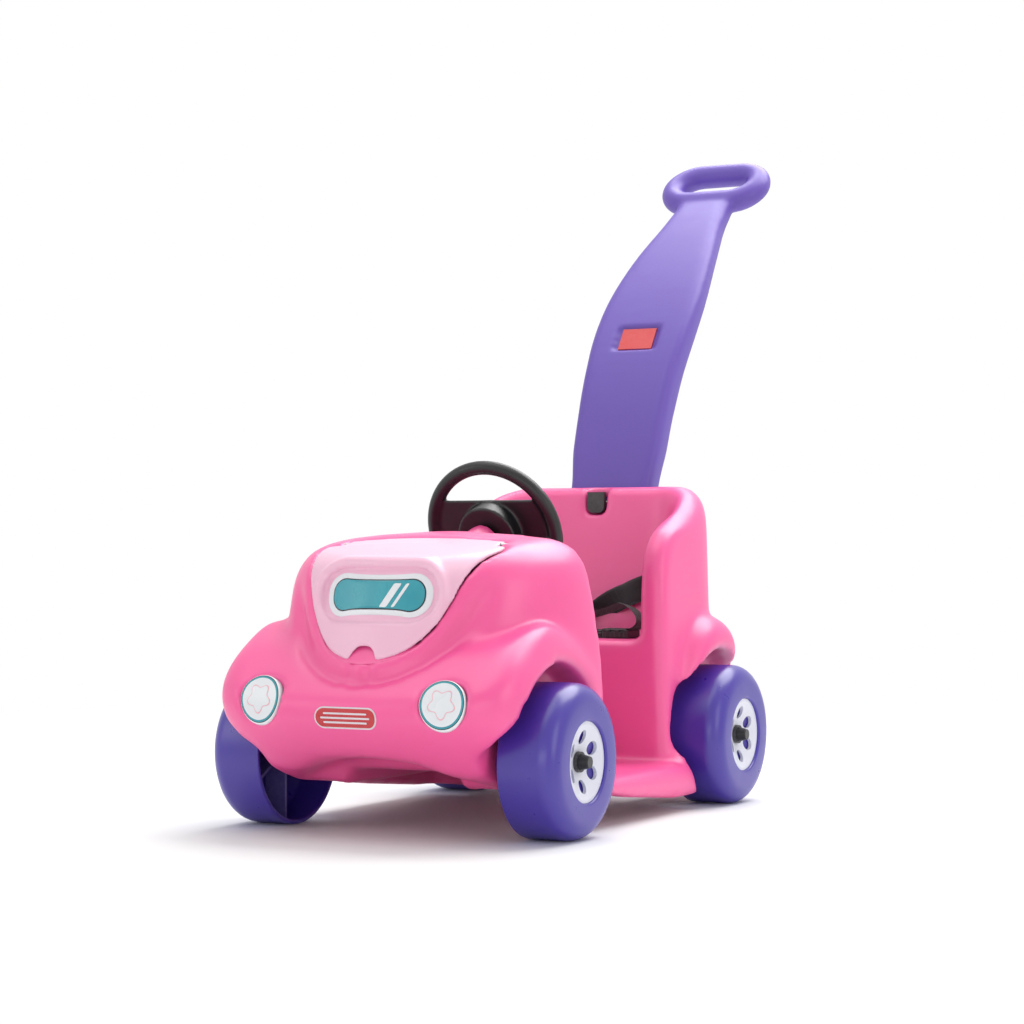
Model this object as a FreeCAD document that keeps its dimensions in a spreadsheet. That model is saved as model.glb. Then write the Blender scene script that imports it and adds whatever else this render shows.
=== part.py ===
import FreeCAD, Part
import Sketcher
import math
import os
from types import SimpleNamespace

doc = FreeCAD.newDocument("push_car")
sheet = doc.addObject("Spreadsheet::Sheet", "Sizes")

# Driving sizes: millimetres, degrees for names that end in angle, plain counts.
# Lengths along the car are taken from the front or the rear axle.
driving = {
    # running gear
    "wheel_diameter": 190, "tyre_width": 76, "tyre_shoulder": 24, "tyre_wall": 6,
    "wheel_track": 411, "wheelbase": 494, "front_axle_setback": 425.7,
    "axle_diameter": 10, "running_clearance": 0.06, "seat_clearance": 0.05,
    "hub_diameter": 28, "hub_reach": 4, "rim_diameter": 99, "rim_depth": 8, "dish_depth": 15,
    "rib_count": 6, "rib_thickness": 4, "rib_setback": 20,
    "disc_wall": 2.5, "disc_lip": 4, "disc_gap": 0.3,
    "vent_count": 6, "vent_diameter": 17, "vent_circle": 60,
    "cap_diameter": 25, "cap_tip_diameter": 14, "cap_length": 17, "cap_base": 5, "cap_grip": 12,
    "bush_diameter": 17, "bush_length": 24, "bush_flange": 26, "bush_flange_thickness": 3,
    "spacer_diameter": 18, "end_play": 0.3,
    # front body
    "nose_overhang": 167, "nose_half_width": 221, "bumper_height": 162, "nose_bottom": 58,
    "fender_top": 258, "fender_round": 34, "chin_height": 77, "chin_reach": 78, "chin_slope": 60,
    "arch_half_width": 108, "arch_rise": 22,
    "hood_height": 373, "hood_half_width": 206, "hood_overhang": 141, "hood_round": 52,
    "cowl_back": 128, "cowl_crown": 25, "hood_base": 140,
    # rear body
    "tail_reach": 112, "rear_half_width": 214, "rear_fender_top": 258, "rear_round": 32,
    "rear_front_reach": 160, "rear_bottom": 40, "seat_height": 227, "rim_height": 439,
    "tub_half_width": 188, "tub_tail_reach": 108, "tub_draft": 11, "tub_corner": 116, "tub_front_reach": 145,
    "tub_wall": 46, "rim_round": 16, "backrest_foot": 6, "backrest_top": 38, "inner_corner": 52,
    "rear_corner": 92,
    # floor
    "floor_height": 64, "sill_half_width": 217, "sill_round": 17,
    "floor_front": 20, "footwell_half_width": 172,
    "toe_half_width": 130, "toe_front": 50, "toe_roof": 245, "hump_wall": 11,
    # wheel wells
    "well_gap": 22, "well_side_gap": 12,
    # hood lid
    "lid_angle": 40.6, "lid_half_width": 127, "lid_length": 209, "lid_gap": 2.5, "lid_wall": 5,
    "lid_setback": 28, "lid_drop": 15, "lid_ledge": 6, "store_depth": 100, "store_setback": 46,
    "hinge_radius": 10, "hinge_half_length": 112, "hinge_gap": 3, "hinge_pin_diameter": 5,
    "hinge_pin_length": 30, "hinge_setback": 29, "hinge_drop": 17.5, "screen_back": 20,
    "screen_half_width": 82, "screen_low": 262, "screen_high": 329, "screen_depth": 9,
    "screen_round": 33, "screen_wall": 3, "notch_radius": 18,
    # headlamps
    "lamp_diameter": 61, "lamp_spread": 127, "lamp_height": 171, "lamp_thickness": 16,
    "lamp_dome": 46, "lamp_gap": 0.4, "lamp_turn_angle": 5.5, "lamp_tilt_angle": 22, "lamp_seat": 155.2,
    # steering
    "steer_diameter": 198, "steer_rim": 19, "steer_angle": 21.5, "steer_reach": 216,
    "steer_height": 373.6, "steer_hub": 84, "steer_hub_depth": 26, "steer_web": 7,
    "steer_web_high": 44, "steer_web_low": 10, "column_diameter": 16, "column_length": 128,
    "steer_boss": 74, "steer_boss_gap": 30, "steer_bush_wall": 4,
    "steer_bush_length": 40, "retainer_diameter": 26, "retainer_thickness": 5,
    "horn_diameter": 46, "horn_height": 12, "horn_travel": 4,
    # push handle
    "lean_angle": 15.3, "handle_straight": 392, "handle_bend": 591, "handle_bend_angle": 33.5,
    "handle_neck": 166, "blade_thickness": 47, "neck_thickness": 33, "blade_corner": 13,
    "blade_foot_half": 60, "blade_low_half": 65, "blade_mid_half": 71, "blade_high_half": 65,
    "blade_neck_half": 43, "knuckle_diameter": 47, "channel_gap": 5, "channel_side_gap": 8,
    "fold_angle": 248, "grip_half_width": 91, "grip_half_length": 58, "grip_tube": 38, "grip_reach": 81.6,
    "grip_angle": 50, "badge_width": 62, "badge_height": 46, "badge_pocket": 8, "badge_wall": 3,
    "badge_margin": 4, "badge_station": 590,
    # handle latch
    "latch_width": 26, "latch_height": 29.5, "latch_thickness": 8, "latch_gap": 2.5,
    "latch_tongue": 7, "latch_tongue_width": 18, "latch_pin_diameter": 4,
    "latch_boss": 10, "latch_drop": 22.2, "latch_room": 5, "latch_pin_reach": 5,
    # lap belt
    "belt_width": 30, "belt_thickness": 2, "belt_rise": 52, "belt_gap": 0.4,
    "belt_reach": 72, "belt_inner": 9, "buckle_length": 40, "buckle_width": 32,
    "buckle_height": 13, "tongue_length": 24, "buckle_setback": 60, "buckle_round": 4, "buckle_offset": 37,
    "anchor_diameter": 16, "anchor_height": 4, "anchor_shank": 5, "anchor_depth": 14,
    # one overrun serves all cuts
    "overrun": 30,
}
for row, (name, value) in enumerate(driving.items(), start=1):
    sheet.set(f"A{row}", name)
    sheet.set(f"B{row}", str(value))
    sheet.setAlias(f"B{row}", name)
doc.recompute()
mm = SimpleNamespace(**{name: float(sheet.get(name)) for name in driving})

front_y = -mm.front_axle_setback
rear_y = front_y + mm.wheelbase
axle_z = mm.wheel_diameter / 2
tyre_in = mm.wheel_track / 2 - mm.tyre_width / 2
well_wall = tyre_in - mm.well_side_gap
tail_y = rear_y + mm.tail_reach
tub_front = rear_y - mm.tub_front_reach
parts = []


def vec(x=0, y=0, z=0):
    return FreeCAD.Vector(x, y, z)


def through(points):
    curve = Part.BSplineCurve()
    curve.interpolate(points)
    return curve.toShape()


def line(a, b):
    return Part.LineSegment(a, b).toShape()


def mirrored(half):
    return half + [vec(-p.x, p.y) for p in reversed(half[:-1])]


# One level of a body: a curve from the right back corner round the nose, closed straight behind.
def level(half, z):
    points = [p + vec(z=z) for p in mirrored([vec(x, y) for x, y in half])]
    return Part.Wire([through(points), line(points[-1], points[0])])


def loft(wires):
    return Part.makeLoft(wires, True, False)


# A block right across the car under a curved top line, flat below.
def side_block(top, bottom_z, half_width):
    points = [vec(-half_width, y, z) for y, z in top]
    low_back = vec(-half_width, top[-1][0], bottom_z)
    low_front = vec(-half_width, top[0][0], bottom_z)
    edges = [through(points), line(points[-1], low_back), line(low_back, low_front),
             line(low_front, points[0])]
    return Part.Face(Part.Wire(edges)).extrude(vec(x=2 * half_width))


def prism(points, across):
    return Part.Face(Part.makePolygon(points + points[:1])).extrude(across)


def box(low, high):
    span = high - low
    return Part.makeBox(span.x, span.y, span.z, low)


def rod(radius, start, end):
    return Part.makeCylinder(radius, (end - start).Length, start, end - start)


def edges_of(solid, probe, keep):
    face = min(solid.Faces, key=lambda f: f.distToShape(Part.Vertex(probe))[0])
    return [edge for edge in face.Edges if keep(edge)]


def middle(edge):
    return edge.valueAt((edge.FirstParameter + edge.LastParameter) / 2)


# A Part::Feature for a moulded form that no single primitive or sketch describes.
def moulded(label, shape):
    node = doc.addObject("Part::Feature", label)
    node.Label = label
    node.Shape = shape
    node.Placement = FreeCAD.Placement()
    parts.append(node)
    return node


def primitive(kind, label, **bound):
    node = doc.addObject(kind, label)
    for prop, expression in bound.items():
        node.setExpression(prop, expression)
    return node


def place(node, base, rotation=FreeCAD.Rotation()):
    node.Placement = FreeCAD.Placement(base, rotation)
    return node


outward_left = FreeCAD.Rotation(vec(z=1), vec(x=1))
outward_right = FreeCAD.Rotation(vec(z=1), vec(x=-1))


# Front body: bumper and fenders
# Shares of the half width across and of the nose overhang along, from the back to the nose.
nose_plan_shares = ((1.0, 1.41), (0.975, 0.0), (0.965, -0.42), (0.875, -0.81), (0.575, -0.95),
                    (0.0, -1.0))
# Height as a share of the bumper height; inset along and across as shares of the overhang.
nose_level_shares = ((0.358, 0.36, 0.20), (0.60, 0.235, 0.12), (0.76, 0.10, 0.055),
                     (1.0, 0.0, 0.0), (1.25, 0.02, 0.015), (1.65, 0.085, 0.06))
# Top line: along as a share of the nose overhang, height as a share of the fender top.
nose_top_shares = ((-1.25, 0.57), (-0.84, 0.735), (-0.62, 0.868), (-0.22, 0.972), (0.13, 1.0),
                   (0.45, 0.962), (0.67, 0.85), (0.79, 0.68), (0.90, 0.47), (1.07, 0.315),
                   (1.41, 0.245))


def nose_body():
    wires = []
    for height, inset_y, inset_x in nose_level_shares:
        across = mm.nose_half_width - inset_x * mm.nose_overhang
        half = []
        for share_x, share_y in nose_plan_shares:
            along = share_y * mm.nose_overhang
            if share_y < 0:
                along -= inset_y * along
            half.append((share_x * across, front_y + along))
        wires.append(level(half, height * mm.bumper_height))
    top = [(front_y + y * mm.nose_overhang, z * mm.fender_top) for y, z in nose_top_shares]
    block = side_block(top, mm.nose_bottom, mm.nose_half_width + mm.overrun)
    solid = loft(wires).common(block).Solids[0]
    crest = vec(0, front_y, mm.fender_top)
    rims = edges_of(solid, crest, lambda e: abs(middle(e).x) > mm.tub_wall
                    or middle(e).y < front_y)
    return solid.makeFillet(mm.fender_round, rims)


# The bumper's lower lip stands higher than the belly and is arched where the folded grip lies.
def lip_cuts():
    tip = front_y - mm.nose_overhang
    back = tip + mm.chin_reach
    outline = [vec(0, tip - mm.overrun), vec(0, tip - mm.overrun, mm.chin_height),
               vec(0, back, mm.chin_height), vec(0, back + mm.chin_slope, mm.nose_bottom),
               vec(0, back + mm.chin_slope)]
    chin = prism([p - vec(mm.nose_half_width) for p in outline], vec(2 * mm.nose_half_width))
    radius = (mm.arch_half_width ** 2 + mm.arch_rise ** 2) / (2 * mm.arch_rise)
    crown = vec(0, 0, mm.chin_height + mm.arch_rise - radius)
    arch = rod(radius, crown + vec(y=tip - mm.overrun), crown + vec(y=back + mm.chin_slope))
    return [chin, arch]


# Hood: walls that lean in and a crowned roof
hood_plan_shares = (
    (0.402, ((1.0, 0.93), (0.965, 0.45), (0.89, 0.04), (0.765, -0.36), (0.50, -0.84), (0.0, -1.04))),
    (0.51, ((0.995, 0.91), (0.965, 0.45), (0.885, 0.03), (0.755, -0.34), (0.48, -0.76), (0.0, -0.985))),
    (0.62, ((0.985, 0.875), (0.96, 0.44), (0.88, 0.03), (0.745, -0.35), (0.43, -0.70), (0.0, -0.86))),
    (0.805, ((0.95, 0.80), (0.945, 0.43), (0.865, 0.05), (0.72, -0.29), (0.38, -0.60), (0.0, -0.69))),
    (1.06, ((0.895, 0.72), (0.87, 0.41), (0.78, 0.07), (0.62, -0.23), (0.32, -0.47), (0.0, -0.53))),
)
# Roof line: along as a share of the hood overhang, height as a share of the hood height.
roof_shares = ((1.30, 1.0), (0.45, 0.995), (0.05, 0.967), (-0.55, 0.906), (-1.20, 0.82))


def roof_section(y, z):
    reach = mm.hood_half_width + mm.overrun
    left, right = vec(-reach, y, z - mm.cowl_crown), vec(reach, y, z - mm.cowl_crown)
    low_left, low_right = vec(-reach, y, mm.hood_base), vec(reach, y, mm.hood_base)
    arc = Part.Arc(left, vec(0, y, z), right).toShape()
    return Part.Wire([arc, line(right, low_right), line(low_right, low_left), line(low_left, left)])


def hood_body():
    wires = []
    for height, plan in hood_plan_shares:
        half = [(x * mm.hood_half_width, front_y + y * mm.hood_overhang) for x, y in plan]
        wires.append(level(half, height * mm.hood_height))
    roof = loft([roof_section(front_y + y * mm.hood_overhang, z * mm.hood_height)
                 for y, z in roof_shares])
    solid = loft(wires).common(roof).Solids[0]
    top = vec(0, front_y, roof_shares[2][1] * mm.hood_height)
    back = front_y + mm.cowl_back * roof_shares[3][1] - mm.overrun
    rims = edges_of(solid, top, lambda e: abs(middle(e).x) > mm.tub_wall or middle(e).y < back)
    return solid.makeFillet(mm.hood_round, rims)


# Seat tub: outer walls, sloping wings and the bucket
# Rim line: along as a share from the tub front to the tail, height as a share of the rim.
rim_shares = ((0.015, 0.05), (0.012, 0.30), (0.014, 0.55), (0.03, 0.70), (0.075, 0.80),
              (0.185, 0.863), (0.40, 0.93), (0.60, 0.985), (0.80, 1.0), (1.20, 1.0))


def rounded_plan(half_width, front, back, corner, z):
    front_left, front_right = vec(-half_width, front, z), vec(half_width, front, z)
    turn = corner * (1 - math.sqrt(0.5))
    right_low, right_high = vec(half_width, back - corner, z), vec(half_width - corner, back, z)
    left_low, left_high = vec(-half_width, back - corner, z), vec(corner - half_width, back, z)
    right_mid, left_mid = vec(half_width - turn, back - turn, z), vec(turn - half_width, back - turn, z)
    return Part.Wire([line(front_left, front_right), line(front_right, right_low),
                      Part.Arc(right_low, right_mid, right_high).toShape(), line(right_high, left_high),
                      Part.Arc(left_high, left_mid, left_low).toShape(), line(left_low, front_left)])


def seat_tub():
    back = rear_y + mm.tub_tail_reach
    foot = rounded_plan(mm.tub_half_width, tub_front, back, mm.tub_corner, mm.rear_bottom)
    head = rounded_plan(mm.tub_half_width - mm.tub_draft, tub_front, back - mm.tub_draft,
                        mm.tub_corner - mm.tub_draft, mm.rim_height + mm.overrun)
    walls = Part.makeLoft([foot, head], True, True)
    depth = back - tub_front
    top = [(tub_front + y * depth, z * mm.rim_height) for y, z in rim_shares]
    block = side_block(top, 0, mm.tub_half_width + mm.overrun)
    tub = walls.common(block).Solids[0]
    inner = mm.tub_half_width - mm.tub_wall
    low = rounded_plan(inner, tub_front - mm.overrun, rear_y - mm.backrest_foot, mm.inner_corner,
                       mm.seat_height)
    high = rounded_plan(inner, tub_front - mm.overrun, rear_y + mm.backrest_top, mm.inner_corner,
                        mm.rim_height + mm.overrun)
    bucket = Part.makeLoft([low, high], True, True)
    tub = tub.cut(bucket).Solids[0]
    rim_probe = vec(0, back - mm.tub_draft - mm.rim_round, mm.rim_height)
    rim = edges_of(tub, rim_probe, lambda e: middle(e).z > mm.seat_height + mm.seat_clearance)
    return tub.makeFillet(mm.rim_round, rim), bucket


# Rear fenders
tail_top_shares = ((-1.43, 0.22), (-1.15, 0.29), (-0.98, 0.45), (-0.82, 0.70), (-0.52, 0.925),
                   (-0.12, 1.0), (0.32, 0.965), (0.68, 0.83), (0.95, 0.62), (1.3, 0.30))


def tail_body():
    plan = Part.Face(rounded_plan(mm.rear_half_width, rear_y - mm.rear_front_reach, tail_y,
                                  mm.rear_corner, mm.rear_bottom))
    walls = plan.extrude(vec(z=mm.rear_fender_top))
    top = [(rear_y + y * mm.tail_reach, z * mm.rear_fender_top) for y, z in tail_top_shares]
    block = side_block(top, mm.rear_bottom, mm.rear_half_width + mm.overrun)
    solid = walls.common(block).Solids[0]
    rims = edges_of(solid, vec(0, rear_y, mm.rear_fender_top),
                    lambda e: abs(middle(e).x) > mm.tub_wall or middle(e).y > rear_y)
    return solid.makeFillet(mm.rear_round, rims)


# Floor pan with the sills, and the hump over the folded handle
belly_shares = ((0.0, 0.95), (0.30, 0.52), (0.54, 0.31), (0.80, 0.31), (0.985, 0.62))


def floor_pan():
    front = front_y + mm.floor_front
    span = tail_y - front
    top = mm.floor_height
    under = [vec(-mm.sill_half_width, front + y * span, z * top) for y, z in belly_shares]
    lid = [vec(-mm.sill_half_width, under[-1].y, top), vec(-mm.sill_half_width, front, top)]
    edges = [line(a, b) for a, b in zip(under, under[1:])]
    edges += [line(under[-1], lid[0]), line(lid[0], lid[1]), line(lid[1], under[0])]
    pan = Part.Face(Part.Wire(edges)).extrude(vec(x=2 * mm.sill_half_width))
    sills = [e for e in pan.Edges if abs(middle(e).z - top) < mm.seat_clearance
             and abs(middle(e).x) > mm.sill_half_width - mm.seat_clearance]
    hollow = box(vec(-mm.footwell_half_width, front - mm.overrun, -mm.overrun),
                 vec(mm.footwell_half_width, tub_front, top - mm.hump_wall))
    return pan.makeFillet(mm.sill_round, sills).cut(hollow)


# Push handle: straight from the rear axle, a bend backwards, then straight to the grip
def lean(angle):
    turn = math.radians(angle)
    return vec(0, math.sin(turn), math.cos(turn)), vec(0, math.cos(turn), -math.sin(turn))


def handle_station(run):
    pivot = vec(0, rear_y, axle_z)
    along, back = lean(mm.lean_angle)
    if run <= mm.handle_straight:
        return pivot + along * run, mm.lean_angle
    bend_start = pivot + along * mm.handle_straight
    centre = bend_start + back * mm.handle_bend
    turned = math.degrees((run - mm.handle_straight) / mm.handle_bend)
    if turned <= mm.handle_bend_angle:
        angle = mm.lean_angle + turned
        return centre - lean(angle)[1] * mm.handle_bend, angle
    angle = mm.lean_angle + mm.handle_bend_angle
    rest = run - mm.handle_straight - math.radians(mm.handle_bend_angle) * mm.handle_bend
    return centre - lean(angle)[1] * mm.handle_bend + lean(angle)[0] * rest, angle


bend_run = math.radians(mm.handle_bend_angle) * mm.handle_bend
neck_station = mm.handle_straight + bend_run + mm.handle_neck


rear_pivot = vec(0, rear_y, axle_z)


def folded(point):
    turn = FreeCAD.Rotation(vec(x=-1), mm.fold_angle)
    return rear_pivot + turn.multVec(point - rear_pivot)


def blade_section(run, half_width, thickness):
    centre, angle = handle_station(run)
    back = lean(angle)[1]
    across = vec(x=1)
    half = thickness / 2
    corner = mm.blade_corner
    diagonal = corner * (1 - math.sqrt(0.5))
    edges = []
    signs = ((1, -1), (1, 1), (-1, 1), (-1, -1))
    ends = []
    for sx, sb in signs:
        outer = centre + across * (sx * half_width) + back * (sb * half)
        flat = outer - across * (sx * corner)
        side = outer - back * (sb * corner)
        bulge = outer - across * (sx * diagonal) - back * (sb * diagonal)
        ends.append((flat, bulge, side) if sx * sb < 0 else (side, bulge, flat))
    for (start, bulge, end), following in zip(ends, ends[1:] + ends[:1]):
        edges.append(Part.Arc(start, bulge, end).toShape())
        edges.append(line(end, following[0]))
    return Part.Wire(edges)


# The backrest leans back; the latch sits at its top and stops just short of the blade behind it.
latch_z = mm.rim_height - mm.latch_drop
recline = (mm.backrest_foot + mm.backrest_top) / (mm.rim_height + mm.overrun - mm.seat_height)
backrest_y = rear_y - mm.backrest_foot + (latch_z - mm.seat_height) * recline
latch_pin_y = backrest_y + mm.latch_thickness + mm.latch_boss / 2
blade_front_run = (latch_z - axle_z) / lean(mm.lean_angle)[0].z
blade_front_y = (handle_station(blade_front_run)[0].y
                 - mm.blade_thickness / 2 / math.cos(math.radians(mm.lean_angle)))
# Tunnel roof points along the folded blade, as shares of its bend
roof_run_shares = (0.0, 0.35, 0.7, 1.0)


# The grip is a tube bent to a racetrack: two runs across the car joined by two half turns.
def grip_ring():
    along, back = lean(mm.grip_angle)
    centre = handle_station(neck_station)[0] + along * mm.grip_reach
    tube = mm.grip_tube / 2
    turn = mm.grip_half_length - tube
    run = vec(mm.grip_half_width - tube - turn)
    bow = vec(turn)
    near, far = centre - along * turn, centre + along * turn
    path = Part.Wire([line(near - run, near + run),
                      Part.Arc(near + run, centre + run + bow, far + run).toShape(),
                      line(far + run, far - run),
                      Part.Arc(far - run, centre - run - bow, near - run).toShape()])
    profile = Part.Wire(Part.Circle(near - run, vec(x=1), tube).toShape())
    return path.makePipeShell([profile], True, False)


# Front face of the blade at one station: its place, the way along it and the way into it.
def blade_face(run):
    centre, angle = handle_station(run)
    along, back = lean(angle)
    return centre - back * (mm.blade_thickness / 2), along, back


def badge_block(width, height, low, high):
    face, along, back = blade_face(mm.badge_station)
    corner = face + back * low - vec(width / 2) - along * (height / 2)
    across, rise = vec(width), along * height
    return prism([corner, corner + across, corner + across + rise, corner + rise], back * (high - low))


def push_handle():
    middle_run = mm.handle_straight + bend_run / 2
    top_run = mm.handle_straight + bend_run
    top_thickness = (mm.blade_thickness + mm.neck_thickness) / 2
    stations = (
        (0, mm.blade_foot_half, mm.knuckle_diameter),
        (mm.handle_straight / 2, (mm.blade_foot_half + mm.blade_low_half) / 2, mm.blade_thickness),
        (mm.handle_straight, mm.blade_low_half, mm.blade_thickness),
        (middle_run, mm.blade_mid_half, mm.blade_thickness),
        (top_run, mm.blade_high_half, top_thickness),
        (neck_station, mm.blade_neck_half, mm.neck_thickness),
        (neck_station + mm.grip_reach - mm.grip_half_length + mm.grip_tube / 2,
         mm.blade_neck_half + mm.channel_side_gap, mm.neck_thickness - 2 * mm.channel_gap),
    )
    blade = loft([blade_section(*station) for station in stations])
    half = vec(mm.blade_foot_half)
    knuckle = rod(mm.knuckle_diameter / 2, rear_pivot - half, rear_pivot + half)
    handle = blade.fuse([knuckle, grip_ring()])
    bore = rod(mm.axle_diameter / 2 + mm.running_clearance, rear_pivot - half * 2, rear_pivot + half * 2)
    pocket = badge_block(mm.badge_width, mm.badge_height, -mm.overrun, mm.badge_pocket)
    return handle.cut([bore, pocket])


# Everything behind the backrest and under the floor that the handle passes through
def handle_way():
    gap = mm.blade_thickness / 2 + mm.channel_gap
    along, back = lean(mm.lean_angle)
    wall_low = rear_pivot - back * gap
    wall_high = wall_low + along * (mm.rim_height + mm.overrun)
    roof = []
    for share in roof_run_shares:
        centre, angle = handle_station(mm.handle_straight + share * bend_run)
        roof.append(folded(centre + lean(angle)[1] * gap))
    start = folded(rear_pivot + back * gap)
    slope = (roof[0] - start).normalize()
    corner = start + slope * ((wall_low - start).cross(along).x / slope.cross(along).x)
    far = tail_y + mm.nose_overhang
    low = -mm.overrun
    outline = [wall_high, vec(0, far, wall_high.z), vec(0, far, low), vec(0, roof[-1].y, low)]
    outline += list(reversed(roof)) + [corner]
    half = mm.blade_mid_half + mm.channel_side_gap
    return prism([p - vec(half) for p in outline], vec(2 * half)), corner, roof


# Hood lid: its plane leans back, and its outline is a shield, straight along the hinge.
lid_down = vec(0, -math.cos(math.radians(mm.lid_angle)), -math.sin(math.radians(mm.lid_angle)))
lid_out = vec(0, -math.sin(math.radians(mm.lid_angle)), math.cos(math.radians(mm.lid_angle)))
lid_top = vec(0, front_y + mm.lid_setback, mm.hood_height - mm.lid_drop)
hinge_axis = vec(0, front_y + mm.hinge_setback, mm.hood_height - mm.hinge_drop)
# Across as a share of the lid's half width, down as a share of its length.
lid_shares = ((0.97, 0.06), (1.0, 0.10), (0.955, 0.27), (0.86, 0.47), (0.64, 0.755), (0.30, 0.955),
              (0.0, 1.0))


# The outline's points step outward by the growth, square to the line between their neighbours.
def lid_prism(grow, low, high):
    outline = mirrored([vec(x * mm.lid_half_width, y * mm.lid_length) for x, y in lid_shares])
    points = []
    for before, point, after in zip(outline[-1:] + outline, outline, outline[1:] + outline[:1]):
        chord = (after - before).normalize()
        spot = point + vec(chord.y, -chord.x) * grow
        points.append(lid_top + vec(spot.x) + lid_down * spot.y + lid_out * low)
    face = Part.Face(Part.Wire([through(points), line(points[-1], points[0])]))
    return face.extrude(lid_out * (high - low))


# A block square to the lid's plane, from one distance down the lid to another
def lid_block(half, top, foot, reach):
    corner = lid_top - vec(half) + lid_down * top - lid_out * reach
    across, down = vec(2 * half), lid_down * (foot - top)
    return prism([corner, corner + across, corner + across + down, corner + down], lid_out * (2 * reach))


def lid_tab(grow):
    return lid_block(mm.hinge_half_length + grow, -mm.hinge_radius - grow, mm.lid_length * lid_shares[2][1],
                     mm.overrun)


def hinge_barrel(radius, half):
    return rod(radius, hinge_axis - vec(half), hinge_axis + vec(half))


def shifted(shape, offset):
    moved = shape.copy()
    moved.translate(offset)
    return moved


# The windscreen panel is let into the front of the lid, the same depth all over, with a wall round it.
def screened(hood, wall):
    half = mm.screen_half_width + wall
    low = vec(-half, front_y - mm.nose_overhang, mm.screen_low - wall)
    window = box(low, vec(half, front_y - mm.screen_back, mm.screen_high + wall))
    along = [e for e in window.Edges if abs(e.tangentAt(e.FirstParameter).y) > abs(lid_down.y)]
    window = window.makeFillet(mm.screen_round + wall, along)
    return hood.cut(window.cut(shifted(hood, vec(y=mm.screen_depth))))


def hood_lid(hood):
    outline = lid_prism(0, -mm.store_depth / 2, mm.store_depth).fuse(lid_tab(0))
    inside = screened(shifted(hood, lid_out * -mm.lid_wall), mm.screen_wall)
    shell = outline.common(screened(hood, 0)).cut(inside)
    barrel = hinge_barrel(mm.hinge_radius, mm.hinge_half_length).common(hood)
    notch_centre = lid_top + lid_down * mm.lid_length
    notch = rod(mm.notch_radius, notch_centre - lid_out * mm.store_depth,
                notch_centre + lid_out * mm.store_depth)
    lid = shell.fuse(barrel).cut(notch)
    bores = []
    for side in (-1, 1):
        end = hinge_axis + vec(side * (mm.hinge_half_length + mm.overrun))
        start = hinge_axis + vec(side * (mm.hinge_half_length - mm.hinge_pin_length / 2 - mm.end_play))
        bores.append(rod(mm.hinge_pin_diameter / 2 + mm.running_clearance, start, end))
    return max(lid.cut(bores).Solids, key=lambda solid: solid.Volume)


def lid_opening(hood):
    seat = shifted(hood, lid_out * -(mm.lid_wall + mm.lid_gap))
    hole = lid_prism(mm.lid_gap, -mm.store_depth / 2, mm.store_depth)
    rim = hole.fuse(lid_tab(mm.lid_gap)).cut(seat)
    shelf = lid_block(mm.lid_half_width, -mm.store_setback, mm.store_setback, mm.lid_length)
    store = lid_prism(-mm.lid_ledge, -mm.store_depth, mm.store_depth).cut(shelf)
    trough = hinge_barrel(mm.hinge_radius + mm.hinge_gap, mm.hinge_half_length + mm.lid_gap)
    half = mm.hinge_half_length + mm.hinge_pin_length / 2
    pins = rod(mm.hinge_pin_diameter / 2 + mm.seat_clearance, hinge_axis - vec(half), hinge_axis + vec(half))
    return [rim, store, trough, pins]


# Headlamps: discs in round pockets, their faces rolled to the bumper's curve
def lamp_frame(side):
    turn, tilt = math.radians(mm.lamp_turn_angle), math.radians(mm.lamp_tilt_angle)
    outward = vec(side * math.sin(turn), -math.cos(turn), math.tan(tilt)).normalize()
    return vec(side * mm.lamp_spread, front_y - mm.lamp_seat, mm.lamp_height), outward


def lamp_disc(side):
    crest, outward = lamp_frame(side)
    puck = rod(mm.lamp_diameter / 2, crest - outward * mm.lamp_thickness, crest)
    across = outward.cross(vec(z=1)).normalize() * mm.lamp_diameter
    axis = crest - outward * mm.lamp_dome
    return puck.common(rod(mm.lamp_dome, axis - across, axis + across)).Solids[0]


def lamp_recess(side):
    crest, outward = lamp_frame(side)
    floor = crest - outward * (mm.lamp_thickness + mm.seat_clearance)
    return rod(mm.lamp_diameter / 2 + mm.lamp_gap, floor, crest + outward * mm.overrun)


# Steering axis, from the column's foot up to the driver
steer_axis = vec(0, math.cos(math.radians(mm.steer_angle)), math.sin(math.radians(mm.steer_angle)))
steer_centre = vec(0, front_y + mm.steer_reach, mm.steer_height)
steer_turn = FreeCAD.Rotation(vec(x=1), vec(), steer_axis, "ZXY")


def on_column(distance):
    return steer_centre - steer_axis * distance


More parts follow.
